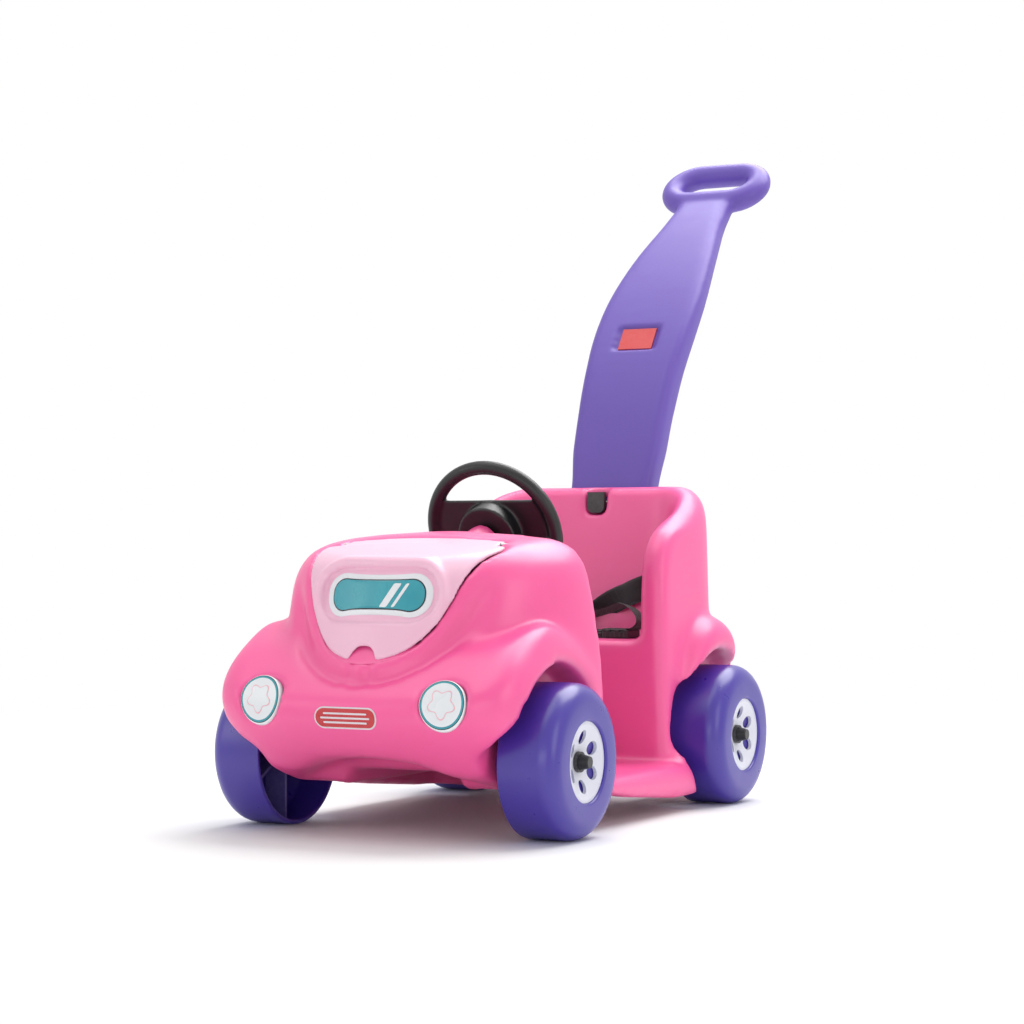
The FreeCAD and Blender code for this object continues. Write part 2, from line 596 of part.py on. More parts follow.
def build_body(nose, hood):
    tub, bucket = seat_tub()
    boss = rod(mm.steer_boss / 2, on_column(mm.column_length), on_column(mm.steer_boss_gap))
    shell = nose.fuse([hood, tail_body(), floor_pan(), boss])
    toe = box(vec(-mm.toe_half_width, front_y + mm.toe_front, mm.floor_height),
              vec(mm.toe_half_width, front_y + mm.cowl_back + mm.overrun, mm.toe_roof))
    reach = vec(mm.footwell_half_width, tub_front, mm.fender_top)
    well = box(vec(-reach.x, front_y + mm.cowl_back, mm.floor_height), reach)
    shell = shell.cut([toe, well, bucket]).fuse(tub)
    way, corner, roof = handle_way()
    hump_half = mm.blade_mid_half + mm.channel_side_gap + mm.hump_wall
    rise = vec(z=mm.hump_wall)
    base = mm.floor_height - mm.hump_wall
    hump = prism([p - vec(hump_half) for p in
                  (corner + rise, roof[0] + rise, roof[1] + rise, vec(0, roof[1].y, base),
                   vec(0, corner.y, base))], vec(2 * hump_half))
    shell = shell.fuse(hump)
    cuts = [way] + lip_cuts() + lid_opening(hood) + [lamp_recess(side) for side in (-1, 1)]
    for y in (front_y, rear_y):
        for side in (-1, 1):
            start = vec(side * well_wall, y, axle_z)
            end = vec(side * (mm.nose_half_width + mm.overrun), y, axle_z)
            cuts.append(rod(mm.wheel_diameter / 2 + mm.well_gap, start, end))
            inner = start - vec(side * mm.bush_length)
            cuts.append(rod(mm.bush_diameter / 2 + mm.seat_clearance, inner, start))
        across = vec(well_wall)
        centre = vec(0, y, axle_z)
        cuts.append(rod(mm.axle_diameter / 2 + mm.seat_clearance, centre - across, centre + across))
    bush = mm.column_diameter / 2 + mm.steer_bush_wall + mm.seat_clearance
    foot = mm.column_length + mm.end_play
    cuts.append(rod(bush, on_column(foot), on_column(mm.steer_boss_gap - mm.overrun)))
    nut = mm.retainer_diameter / 2 + mm.latch_gap
    nut_top = mm.column_length - mm.retainer_thickness - mm.end_play
    cuts.append(rod(nut, on_column(foot), on_column(nut_top)))
    cuts += latch_room()
    hole = mm.anchor_shank / 2 + mm.seat_clearance
    cuts += [anchor_rod(side, hole, -mm.anchor_depth, mm.overrun) for side in (-1, 1)]
    return shell.cut(cuts)


# Latch: the room it turns in, cut from the backrest
def latch_room():
    half = mm.latch_width / 2 + mm.latch_gap
    back = latch_pin_y + mm.latch_boss / 2 + mm.latch_gap
    plate = box(vec(-half, backrest_y - mm.overrun, latch_z - mm.latch_height / 2 - mm.latch_gap),
                vec(half, back, mm.rim_height + mm.overrun))
    half = mm.latch_tongue_width / 2 + mm.latch_gap
    rise = mm.latch_tongue / 2 + mm.latch_room
    slot = box(vec(-half, backrest_y, latch_z - rise), vec(half, blade_front_y, latch_z + rise))
    half = mm.latch_width / 2 + mm.latch_gap + mm.latch_pin_reach
    pin = rod(mm.latch_pin_diameter / 2 + mm.seat_clearance, vec(-half, latch_pin_y, latch_z),
              vec(half, latch_pin_y, latch_z))
    return [plate, slot, pin]


def handle_latch():
    low = vec(-mm.latch_width / 2, backrest_y, latch_z - mm.latch_height / 2)
    plate = box(low, vec(mm.latch_width / 2, backrest_y + mm.latch_thickness, latch_z + mm.latch_height / 2))
    half_way = backrest_y + mm.latch_thickness / 2
    chin = [e for e in plate.Edges if middle(e).z < latch_z - mm.latch_height / 3
            and abs(middle(e).x) > mm.latch_width / 3
            and abs(middle(e).y - half_way) < mm.seat_clearance]
    plate = plate.makeFillet(mm.latch_width / 3, chin)
    half = vec(mm.latch_tongue_width / 2)
    pin = vec(0, latch_pin_y, latch_z)
    boss = rod(mm.latch_boss / 2, pin - half, pin + half)
    rise = vec(z=mm.latch_tongue / 2)
    tongue = box(vec(0, backrest_y + mm.latch_thickness / 2, latch_z) - half - rise,
                 vec(0, blade_front_y - 2 * mm.latch_gap, latch_z) + half + rise)
    bore = rod(mm.latch_pin_diameter / 2 + mm.running_clearance, pin - half * 2, pin + half * 2)
    return plate.fuse([boss, tongue]).cut(bore)


# Lap belt: webbing along the backrest, two buckle halves on the seat, screws at the anchors
rest_up = vec(0, recline, 1).normalize()
rest_out = vec(0, -1, recline).normalize()
rest_foot = vec(0, rear_y - mm.backrest_foot, mm.seat_height)


def anchor_point(side):
    return rest_foot + vec(side * mm.belt_reach) + rest_up * mm.belt_rise


def anchor_rod(side, radius, low, high):
    point = anchor_point(side)
    return rod(radius, point + rest_out * low, point + rest_out * high)


def belt_strap(side):
    lift = rest_out * mm.belt_gap
    high = anchor_point(side) + lift
    low = rest_foot + vec(side * mm.belt_inner) + rest_up * (mm.belt_width * 2 / 3) + lift
    across = (high - low).cross(rest_out).normalize() * (mm.belt_width / 2)
    mid = (high + low) / 2 - rest_up * (mm.belt_width / 4)
    top_curve = Part.Arc(low + across, mid + across, high + across).toShape()
    low_curve = Part.Arc(high - across, mid - across, low - across).toShape()
    ribbon = Part.Face(Part.Wire([top_curve, line(high + across, high - across), low_curve,
                                  line(low - across, low + across)]))
    strap = ribbon.extrude(rest_out * mm.belt_thickness)
    return strap.cut(anchor_rod(side, mm.anchor_shank / 2 + mm.belt_gap, -mm.overrun, mm.overrun))


def buckle_half(length, width, height, start):
    z = mm.seat_height + mm.belt_gap
    y = rear_y - mm.backrest_foot - mm.buckle_setback
    low = vec(mm.buckle_offset + start, y - width / 2, z)
    block = box(low, low + vec(length, width, height))
    upright = [e for e in block.Edges if abs(middle(e).z - z - height / 2) < mm.seat_clearance]
    block = block.makeFillet(mm.buckle_round, upright)
    brim = [e for e in block.Edges if middle(e).z > z + height - mm.seat_clearance]
    return block.makeChamfer(mm.buckle_round / 3, brim)


def anchor_screws():
    solids = []
    front = 2 * mm.belt_gap + mm.belt_thickness
    for side in (-1, 1):
        shank = anchor_rod(side, mm.anchor_shank / 2, -mm.anchor_depth, front)
        head = anchor_rod(side, mm.anchor_diameter / 2, front, front + mm.anchor_height)
        solids.append(head.fuse(shank).removeSplitter())
    return Part.makeCompound(solids)


def origin_plane(body, role):
    return next(f for f in body.Origin.OriginFeatures if f.Role == role)


# A rectangle that lies evenly on both sides of the sketch's horizontal axis
def rectangle(sketch, low, high, half):
    spots = [vec(1, -1), vec(2, -1), vec(2, 1), vec(1, 1)]
    for index in range(4):
        sketch.addGeometry(Part.LineSegment(spots[index], spots[(index + 1) % 4]), False)
    for index in range(4):
        sketch.addConstraint(Sketcher.Constraint("Coincident", index, 2, (index + 1) % 4, 1))
    sketch.addConstraint(Sketcher.Constraint("Horizontal", 0))
    sketch.addConstraint(Sketcher.Constraint("Vertical", 1))
    sketch.addConstraint(Sketcher.Constraint("Horizontal", 2))
    for kind, corner, size in (("DistanceX", 0, low), ("DistanceX", 1, high), ("DistanceY", 2, half)):
        number = sketch.addConstraint(Sketcher.Constraint(kind, -1, 1, corner, 1, 1.0))
        sketch.setExpression(f"Constraints[{number}]", size)
    sketch.addConstraint(Sketcher.Constraint("Symmetric", 0, 1, 3, 1, -1))


# Turned pieces: a sketch of corner points, each bound to the sheet, spun about its upright axis
def turned(label, corners):
    body = doc.addObject("PartDesign::Body", label)
    body.Label = label
    sketch = body.newObject("Sketcher::SketchObject", f"{label}_profile")
    sketch.AttachmentSupport = [(origin_plane(body, "XZ_Plane"), "")]
    sketch.MapMode = "FlatFace"
    count = len(corners)
    ring = [vec(2 + math.cos(2 * math.pi * i / count), 2 + math.sin(2 * math.pi * i / count))
            for i in range(count)]
    for index in range(count):
        sketch.addGeometry(Part.LineSegment(ring[index], ring[(index + 1) % count]), False)
    for index in range(count):
        sketch.addConstraint(Sketcher.Constraint("Coincident", index, 2, (index + 1) % count, 1))
    for index, (radius, height) in enumerate(corners):
        for kind, axis, size in (("DistanceX", -2, radius), ("DistanceY", -1, height)):
            if size == "0":
                sketch.addConstraint(Sketcher.Constraint("PointOnObject", index, 1, axis))
            else:
                number = sketch.addConstraint(Sketcher.Constraint(kind, -1, 1, index, 1, 1.0))
                sketch.setExpression(f"Constraints[{number}]", size)
    spin = body.newObject("PartDesign::Revolution", f"{label}_spin")
    spin.Profile = sketch
    spin.ReferenceAxis = (sketch, ["V_Axis"])
    spin.Angle = 360
    doc.recompute()
    return body, spin


def bind_place(node, x, y, z, rotation):
    node.Placement = FreeCAD.Placement(vec(), rotation)
    for axis, expression in (("x", x), ("y", y), ("z", z)):
        node.setExpression(f"Placement.Base.{axis}", expression)
    parts.append(node)


def circle_edges(shape, radius, height):
    names = []
    for number, edge in enumerate(shape.Edges, start=1):
        if isinstance(edge.Curve, Part.Circle) and abs(edge.Curve.Radius - radius) < mm.seat_clearance:
            if abs(edge.Curve.Center.z - height) < mm.seat_clearance:
                names.append(f"Edge{number}")
    return names


front_axle_at = "-Sizes.front_axle_setback"
rear_axle_at = "Sizes.wheelbase - Sizes.front_axle_setback"
axle_height_at = "Sizes.wheel_diameter / 2"
corners_of_car = (("front_left", 1, front_axle_at), ("front_right", -1, front_axle_at),
                  ("rear_left", 1, rear_axle_at), ("rear_right", -1, rear_axle_at))
wheel_in = "Sizes.wheel_track / 2 - Sizes.tyre_width / 2 - Sizes.hub_reach"


def make_wheel(name, side, along):
    face = "Sizes.hub_reach + Sizes.tyre_width"
    bore = "Sizes.axle_diameter / 2 + Sizes.running_clearance"
    outer, rim = "Sizes.wheel_diameter / 2", "Sizes.rim_diameter / 2"
    inside = "Sizes.wheel_diameter / 2 - Sizes.tyre_wall"
    hub = "Sizes.hub_diameter / 2"
    slope = "(Sizes.tyre_shoulder - Sizes.tyre_wall)"
    dish = f"{face} - Sizes.rim_depth - Sizes.dish_depth"
    corners = [(outer, "Sizes.hub_reach"), (outer, face), (rim, face), (rim, f"{face} - Sizes.rim_depth"),
               (bore, dish), (bore, "0"), (hub, "0"), (hub, f"{dish} - Sizes.tyre_wall"),
               (rim, f"{face} - Sizes.rim_depth - 2 * Sizes.tyre_wall"),
               (f"{inside} - {slope}", f"{face} - 2 * Sizes.tyre_wall"),
               (inside, f"{face} - 2 * Sizes.tyre_wall - {slope}"), (inside, "Sizes.hub_reach")]
    body, spin = turned(f"wheel_{name}", corners)
    fillet = body.newObject("PartDesign::Fillet", f"wheel_{name}_shoulder")
    fillet.Base = (spin, circle_edges(spin.Shape, mm.wheel_diameter / 2, mm.hub_reach + mm.tyre_width))
    fillet.setExpression("Radius", "Sizes.tyre_shoulder")
    doc.recompute()
    sketch = body.newObject("Sketcher::SketchObject", f"wheel_{name}_rib")
    sketch.AttachmentSupport = [(origin_plane(body, "XY_Plane"), "")]
    sketch.MapMode = "FlatFace"
    sketch.setExpression("AttachmentOffset.Base.z", "Sizes.hub_reach + Sizes.rib_setback")
    mid_wall = "Sizes.tyre_wall / 2"
    low, high = f"{hub} - {mid_wall}", f"{inside} + {mid_wall}"
    half = "Sizes.rib_thickness / 2"
    rectangle(sketch, low, high, half)
    rib = body.newObject("PartDesign::Pad", f"wheel_{name}_rib_pad")
    rib.Profile = sketch
    rib.setExpression("Length", f"{dish} - {mid_wall} - Sizes.hub_reach - Sizes.rib_setback")
    doc.recompute()
    ribs = body.newObject("PartDesign::PolarPattern", f"wheel_{name}_ribs")
    ribs.Originals = [rib]
    ribs.Axis = (sketch, ["N_Axis"])
    ribs.Angle = 360
    ribs.setExpression("Occurrences", "Sizes.rib_count")
    body.Tip = ribs
    doc.recompute()
    if not spin.Shape.Volume / 2 < fillet.Shape.Volume < rib.Shape.Volume < ribs.Shape.Volume:
        raise RuntimeError(f"ribs of wheel_{name} add nothing")
    bind_place(body, f"{side} * ({wheel_in})", along, axle_height_at,
               outward_left if side > 0 else outward_right)


# The disc follows the wheel's dish, a named gap in front of it, with round vents.
def make_hub_disc(name, side, along):
    face = "Sizes.hub_reach + Sizes.tyre_width"
    edge = "Sizes.rim_diameter / 2 - Sizes.disc_gap"
    step = f"{face} - Sizes.rim_depth + Sizes.disc_gap"
    well = "Sizes.cap_diameter / 2"
    centre = f"{face} - Sizes.rim_depth - Sizes.dish_depth + 2 * Sizes.disc_wall"
    corners = [(edge, step), (edge, f"{step} + Sizes.disc_lip"),
               (f"{edge} - Sizes.disc_lip", f"{step} + Sizes.disc_lip"),
               (well, f"{centre} + Sizes.disc_wall"), ("Sizes.axle_diameter / 2 + Sizes.disc_gap",
                                                       f"{centre} + Sizes.disc_wall"),
               ("Sizes.axle_diameter / 2 + Sizes.disc_gap", centre), (well, centre)]
    body, spin = turned(f"hub_disc_{name}", corners)
    sketch = body.newObject("Sketcher::SketchObject", f"hub_disc_{name}_vent")
    sketch.AttachmentSupport = [(origin_plane(body, "XY_Plane"), "")]
    sketch.MapMode = "FlatFace"
    sketch.addGeometry(Part.Circle(vec(1), vec(z=1), 1), False)
    sketch.addConstraint(Sketcher.Constraint("PointOnObject", 0, 3, -1))
    number = sketch.addConstraint(Sketcher.Constraint("DistanceX", -1, 1, 0, 3, 1.0))
    sketch.setExpression(f"Constraints[{number}]", "Sizes.vent_circle / 2")
    number = sketch.addConstraint(Sketcher.Constraint("Diameter", 0, 1.0))
    sketch.setExpression(f"Constraints[{number}]", "Sizes.vent_diameter")
    pocket = body.newObject("PartDesign::Pocket", f"hub_disc_{name}_cut")
    pocket.Profile = sketch
    pocket.Type = "ThroughAll"
    pocket.Midplane = True
    doc.recompute()
    pattern = body.newObject("PartDesign::PolarPattern", f"hub_disc_{name}_vents")
    pattern.Originals = [pocket]
    pattern.Axis = (sketch, ["N_Axis"])
    pattern.Angle = 360
    pattern.setExpression("Occurrences", "Sizes.vent_count")
    body.Tip = pattern
    doc.recompute()
    if not pattern.Shape.Volume < pocket.Shape.Volume < spin.Shape.Volume:
        raise RuntimeError(f"vents of hub_disc_{name} cut nothing")
    bind_place(body, f"{side} * ({wheel_in})", along, axle_height_at,
               outward_left if side > 0 else outward_right)


disc_front = ("Sizes.hub_reach + Sizes.tyre_width - Sizes.rim_depth - Sizes.dish_depth"
              " + 3 * Sizes.disc_wall + Sizes.end_play")


def make_axle_cap(name, side, along):
    bore = "Sizes.axle_diameter / 2 + Sizes.seat_clearance"
    corners = [("0", "Sizes.cap_grip"), (bore, "Sizes.cap_grip"), (bore, "0"),
               ("Sizes.cap_diameter / 2", "0"), ("Sizes.cap_diameter / 2", "Sizes.cap_base"),
               ("Sizes.cap_diameter / 2 - Sizes.disc_wall", "Sizes.cap_base"),
               ("Sizes.cap_tip_diameter / 2", "Sizes.cap_length"), ("0", "Sizes.cap_length")]
    body, spin = turned(f"axle_cap_{name}", corners)
    bind_place(body, f"{side} * ({wheel_in} + {disc_front})", along, axle_height_at,
               outward_left if side > 0 else outward_right)


def make_axle(label, along):
    half = f"({wheel_in} + {disc_front} + Sizes.cap_grip - Sizes.end_play)"
    node = primitive("Part::Cylinder", label, Radius="Sizes.axle_diameter / 2", Height=f"2 * {half}")
    node.Label = label
    bind_place(node, f"-1 * {half}", along, axle_height_at, outward_left)


def ring_group(label, outer, inner, length, starts):
    solids = []
    for start, way in starts:
        tube = rod(outer, start, start + way * length)
        solids.append(tube.cut(rod(inner, start - way * mm.overrun, start + way * (length + mm.overrun))))
    return moulded(label, Part.makeCompound(solids))


def make_axle_fittings():
    bushes, spacers = [], []
    bore = mm.axle_diameter / 2 + mm.seat_clearance
    for y in (front_y, rear_y):
        for side in (-1, 1):
            way = vec(side)
            wall = vec(side * well_wall, y, axle_z)
            sleeve = rod(mm.bush_diameter / 2, wall - way * mm.bush_length, wall)
            flange = rod(mm.bush_flange / 2, wall, wall + way * mm.bush_flange_thickness)
            hole = rod(bore, wall - way * mm.overrun, wall + way * mm.overrun)
            bushes.append(sleeve.fuse(flange).removeSplitter().cut(hole))
            spacers.append((wall + way * mm.bush_flange_thickness, way))
    moulded("axle_bushings", Part.makeCompound(bushes))
    length = tyre_in - mm.hub_reach - well_wall - mm.bush_flange_thickness - mm.end_play
    ring_group("axle_spacers", mm.spacer_diameter / 2, bore, length, spacers)


# Steering wheel: rim, a broad band with the hub, and the socket for the column
def make_steering():
    rim_middle = "Sizes.steer_diameter / 2 - Sizes.steer_rim / 2"
    rim = primitive("Part::Torus", "steer_rim_ring", Radius1=rim_middle, Radius2="Sizes.steer_rim / 2")
    hub = primitive("Part::Cylinder", "steer_hub_drum", Radius="Sizes.steer_hub / 2",
                    Height="Sizes.steer_hub_depth + Sizes.steer_web")
    hub.setExpression("Placement.Base.z", "-Sizes.steer_hub_depth")
    disc = primitive("Part::Cylinder", "steer_web_disc", Radius=rim_middle, Height="Sizes.steer_web")
    disc.setExpression("Placement.Base.z", "-Sizes.steer_web / 2")
    band = primitive("Part::Box", "steer_web_band", Length="Sizes.steer_diameter",
                     Width="Sizes.steer_web_high + Sizes.steer_web_low", Height="Sizes.steer_diameter")
    band.setExpression("Placement.Base.x", "-Sizes.steer_diameter / 2")
    band.setExpression("Placement.Base.y", "-Sizes.steer_web_high")
    band.setExpression("Placement.Base.z", "-Sizes.steer_diameter / 2")
    web = doc.addObject("Part::Common", "steer_web")
    web.Base, web.Tool = disc, band
    whole = doc.addObject("Part::MultiFuse", "steer_whole")
    whole.Shapes = [rim, hub, web]
    socket = primitive("Part::Cylinder", "steer_socket",
                       Radius="Sizes.column_diameter / 2 + Sizes.seat_clearance",
                       Height="Sizes.steer_hub_depth - Sizes.horn_height")
    socket.setExpression("Placement.Base.z", "-Sizes.steer_hub_depth")
    seat = primitive("Part::Cylinder", "horn_seat",
                     Radius="Sizes.horn_diameter / 2 + Sizes.running_clearance",
                     Height="Sizes.horn_height + Sizes.steer_web")
    seat.setExpression("Placement.Base.z", "Sizes.steer_web - Sizes.horn_height")
    holes = doc.addObject("Part::MultiFuse", "steer_holes")
    holes.Shapes = [socket, seat]
    wheel = doc.addObject("Part::Cut", "steering_wheel")
    wheel.Label = "steering_wheel"
    wheel.Base, wheel.Tool = whole, holes
    place(wheel, steer_centre, steer_turn)
    parts.append(wheel)
    column = primitive("Part::Cylinder", "steering_column", Radius="Sizes.column_diameter / 2",
                       Height="Sizes.column_length - Sizes.horn_height - Sizes.end_play")
    column.Label = "steering_column"
    place(column, on_column(mm.column_length), steer_turn)
    parts.append(column)
    bush_inner = mm.column_diameter / 2 + mm.running_clearance
    top = mm.steer_boss_gap
    ring_group("steering_bush", bush_inner - mm.running_clearance + mm.steer_bush_wall, bush_inner,
               mm.steer_bush_length, [(on_column(top), steer_axis * -1)])
    ring_group("steering_retainer", mm.retainer_diameter / 2, mm.column_diameter / 2 + mm.seat_clearance,
               mm.retainer_thickness, [(on_column(mm.column_length), steer_axis)])
    button = primitive("Part::Cylinder", "horn_button", Radius="Sizes.horn_diameter / 2",
                       Height="Sizes.horn_height - Sizes.horn_travel")
    button.Label = "horn_button"
    place(button, steer_centre + steer_axis * (mm.steer_web - mm.horn_height + mm.horn_travel + mm.end_play),
          steer_turn)
    parts.append(button)


def build():
    nose, hood = nose_body(), hood_body()
    moulded("body_shell", build_body(nose, hood))
    moulded("hood_lid", hood_lid(hood))
    for label, side in (("headlamp_disc_left", 1), ("headlamp_disc_right", -1)):
        moulded(label, lamp_disc(side))
    pins = []
    for side in (-1, 1):
        start = hinge_axis + vec(side * (mm.hinge_half_length - mm.hinge_pin_length / 2))
        pins.append(rod(mm.hinge_pin_diameter / 2, start, start + vec(side * mm.hinge_pin_length)))
    moulded("hood_hinge_pins", Part.makeCompound(pins))
    moulded("push_handle", push_handle())
    margin = 2 * mm.badge_margin
    moulded("handle_badge_plate", badge_block(mm.badge_width - margin, mm.badge_height - margin,
                                              mm.badge_pocket - mm.badge_wall, mm.badge_pocket))
    moulded("handle_latch", handle_latch())
    half = mm.latch_width / 2 + mm.latch_gap + mm.latch_pin_reach - mm.end_play
    moulded("latch_pin", rod(mm.latch_pin_diameter / 2, vec(-half, latch_pin_y, latch_z),
                             vec(half, latch_pin_y, latch_z)))
    moulded("belt_strap_left", belt_strap(1))
    moulded("belt_strap_right", belt_strap(-1))
    moulded("belt_anchor_screws", anchor_screws())
    moulded("belt_buckle_socket", buckle_half(mm.buckle_length, mm.buckle_width, mm.buckle_height,
                                              mm.tongue_length + mm.end_play))
    moulded("belt_buckle_tongue", buckle_half(mm.tongue_length, mm.buckle_width - 2 * mm.buckle_round,
                                              mm.buckle_height - mm.buckle_round / 2, 0))
    for name, side, along in corners_of_car:
        make_wheel(name, side, along)
        make_hub_disc(name, side, along)
        make_axle_cap(name, side, along)
    make_axle("front_axle", front_axle_at)
    make_axle("rear_axle", rear_axle_at)
    make_axle_fittings()
    make_steering()


def check_and_export():
    doc.recompute()
    for node in doc.Objects:
        if "Invalid" in node.State or "Error" in node.State:
            raise RuntimeError(f"{node.Label} failed: {node.State}")
    os.makedirs("parts", exist_ok=True)
    for node in parts:
        if node.Shape.isNull() or not node.Shape.isValid():
            raise RuntimeError(f"{node.Label} has no valid shape")
        print(node.Label, len(node.Shape.Solids), round(node.Shape.Volume))
    for node in parts:
        node.Shape.exportStep(f"parts/{node.Label}.step")


build()
check_and_export()
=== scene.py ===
import math

import bmesh
import bpy
import numpy as np
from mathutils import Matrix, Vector
from mathutils.bvhtree import BVHTree
from mathutils.geometry import delaunay_2d_cdt


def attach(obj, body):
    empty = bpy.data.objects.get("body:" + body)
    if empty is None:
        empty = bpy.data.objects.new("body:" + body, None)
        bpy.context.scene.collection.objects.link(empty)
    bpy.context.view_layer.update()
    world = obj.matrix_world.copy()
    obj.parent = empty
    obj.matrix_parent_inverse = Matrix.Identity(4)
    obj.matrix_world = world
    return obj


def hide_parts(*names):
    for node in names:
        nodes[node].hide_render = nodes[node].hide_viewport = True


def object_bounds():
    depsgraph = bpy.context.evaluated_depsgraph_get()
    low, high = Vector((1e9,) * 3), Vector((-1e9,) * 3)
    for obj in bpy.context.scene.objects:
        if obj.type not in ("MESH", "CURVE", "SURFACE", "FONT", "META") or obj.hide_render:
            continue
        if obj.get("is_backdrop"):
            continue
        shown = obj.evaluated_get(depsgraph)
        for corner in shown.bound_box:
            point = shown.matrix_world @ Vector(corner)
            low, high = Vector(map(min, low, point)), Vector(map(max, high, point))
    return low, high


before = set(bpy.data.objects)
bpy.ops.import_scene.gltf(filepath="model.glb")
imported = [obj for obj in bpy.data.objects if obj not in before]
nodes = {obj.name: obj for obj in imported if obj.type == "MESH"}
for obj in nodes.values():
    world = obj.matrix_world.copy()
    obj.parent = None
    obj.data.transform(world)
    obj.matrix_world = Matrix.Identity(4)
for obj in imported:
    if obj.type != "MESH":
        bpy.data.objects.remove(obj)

scene = bpy.context.scene
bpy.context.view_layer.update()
frontAxle = -0.4257
rearAxle = 0.0683
print("frame loaded")


# Colours are given as display values and turned to linear light here.
def colour(red, green, blue):
    linear = [((c / 255 + 0.055) / 1.055) ** 2.4 if c > 10 else c / 255 / 12.92 for c in (red, green, blue)]
    return (*linear, 1.0)


# A node group with its inputs and outputs, and the keys by which a modifier sets the inputs
def newGroup(name, family, inputs, outputs):
    tree = bpy.data.node_groups.new(name, family + "NodeTree")
    keys = {}
    for label, kind, *value in inputs:
        socket = tree.interface.new_socket(label, in_out="INPUT", socket_type="NodeSocket" + kind)
        keys[label] = socket.identifier
        if value:
            socket.default_value = value[0]
    for label, kind in outputs:
        tree.interface.new_socket(label, in_out="OUTPUT", socket_type="NodeSocket" + kind)
    return tree, keys, tree.nodes.new("NodeGroupInput"), tree.nodes.new("NodeGroupOutput")


# Values go to the inputs of that name, or else to the node itself.
def setValues(node, **values):
    for key, value in values.items():
        if key in node.inputs:
            node.inputs[key].default_value = value
        else:
            setattr(node, key, value)
    return node


def addNode(tree, kind, **values):
    return setValues(tree.nodes.new(kind), **values)


# Each row is a node and its output, then a node and its input.
def wire(tree, *rows):
    for source, output, target, entry in rows:
        tree.links.new(source.outputs[output], target.inputs[entry])


# One sum in a node tree. A term is a socket or a plain number.
def worked(tree, operation, *terms):
    node = addNode(tree, "ShaderNodeMath", operation=operation)
    for socket, term in zip(node.inputs, terms):
        if isinstance(term, (int, float)):
            socket.default_value = term
        else:
            tree.links.new(term, socket)
    return node.outputs[0]


# A colour between two others, each a socket or a plain colour
def blended(tree, factor, first, second):
    mix = addNode(tree, "ShaderNodeMix", data_type="RGBA")
    tree.links.new(factor, mix.inputs["Factor"])
    for key, value in (("A", first), ("B", second)):
        if isinstance(value, tuple):
            mix.inputs[key].default_value = value
        else:
            tree.links.new(value, mix.inputs[key])
    return mix.outputs["Result"]


# A value spread over a new range
def ranged(tree, value, low, high):
    spread = addNode(tree, "ShaderNodeMapRange", **{"To Min": low, "To Max": high})
    tree.links.new(value, spread.inputs["Value"])
    return spread.outputs["Result"]


# Pale colour for the edges: painted sheen mixed with rubbing wear
sheenAndRubPale = (0.9, 0.88, 0.9, 1.0)
bounceShare = 0.8


# Moulded plastic: a fine skin grain, cloudy gloss, faint colour drift, and pale edges that are partly rubbing
# wear and partly painted sheen.
def mouldedGroup():
    tree, _, source, sink = newGroup("mouldedSkin", "Shader", [
        ("Colour", "Color", (0.8, 0.8, 0.8, 1)), ("Drift", "Float", 0.04), ("Roughness", "Float", 0.35),
        ("Cloud", "Float", 0.12), ("Grain Scale", "Float", 900.0), ("Grain Height", "Float", 0.00006),
        ("Wear", "Float", 0.15),
    ], [("Colour", "Color"), ("Roughness", "Float"), ("Normal", "Vector")])
    link = tree.links.new
    place = addNode(tree, "ShaderNodeTexCoord")
    broad = addNode(tree, "ShaderNodeTexNoise", Scale=7.0, Detail=3.0)
    cloud = addNode(tree, "ShaderNodeTexNoise", Scale=42.0, Detail=5.0, Roughness=0.62)
    grain = addNode(tree, "ShaderNodeTexNoise", Detail=2.0, Roughness=0.6)
    scuffAndSheen = addNode(tree, "ShaderNodeTexNoise", Scale=130.0, Detail=6.0, Roughness=0.75)
    for texture in (broad, cloud, grain, scuffAndSheen):
        link(place.outputs["Object"], texture.inputs["Vector"])
    link(source.outputs["Grain Scale"], grain.inputs["Scale"])
    drift = worked(tree, "SUBTRACT", broad.outputs["Fac"], 0.5)
    hue = addNode(tree, "ShaderNodeHueSaturation")
    link(source.outputs["Colour"], hue.inputs["Color"])
    link(worked(tree, "MULTIPLY_ADD", drift, source.outputs["Drift"], 1.0), hue.inputs["Value"])
    shape = addNode(tree, "ShaderNodeNewGeometry")
    # Edges are paled: painted sheen along sharp edges, broken up by scuff noise as rubbing wear
    edge = addNode(tree, "ShaderNodeMapRange", **{"From Min": 0.52, "From Max": 0.62})
    link(shape.outputs["Pointiness"], edge.inputs["Value"])
    sheenAndRub = worked(tree, "MULTIPLY", edge.outputs["Result"], scuffAndSheen.outputs["Fac"])
    wornAndSheen = worked(tree, "MULTIPLY", sheenAndRub, source.outputs["Wear"])
    link(blended(tree, wornAndSheen, hue.outputs["Color"], sheenAndRubPale), sink.inputs["Colour"])
    gloss = worked(tree, "SUBTRACT", cloud.outputs["Fac"], 0.5)
    link(worked(tree, "MULTIPLY_ADD", gloss, source.outputs["Cloud"], source.outputs["Roughness"]),
         sink.inputs["Roughness"])
    bump = addNode(tree, "ShaderNodeBump", Strength=0.6)
    wire(tree, (source, "Grain Height", bump, "Distance"), (grain, "Fac", bump, "Height"),
         (bump, "Normal", sink, "Normal"))
    return tree


mouldedSkin = mouldedGroup()


def newMaterial(name):
    material = bpy.data.materials.new(name)
    material.use_nodes = True
    return material, material.node_tree, material.node_tree.nodes["Principled BSDF"]


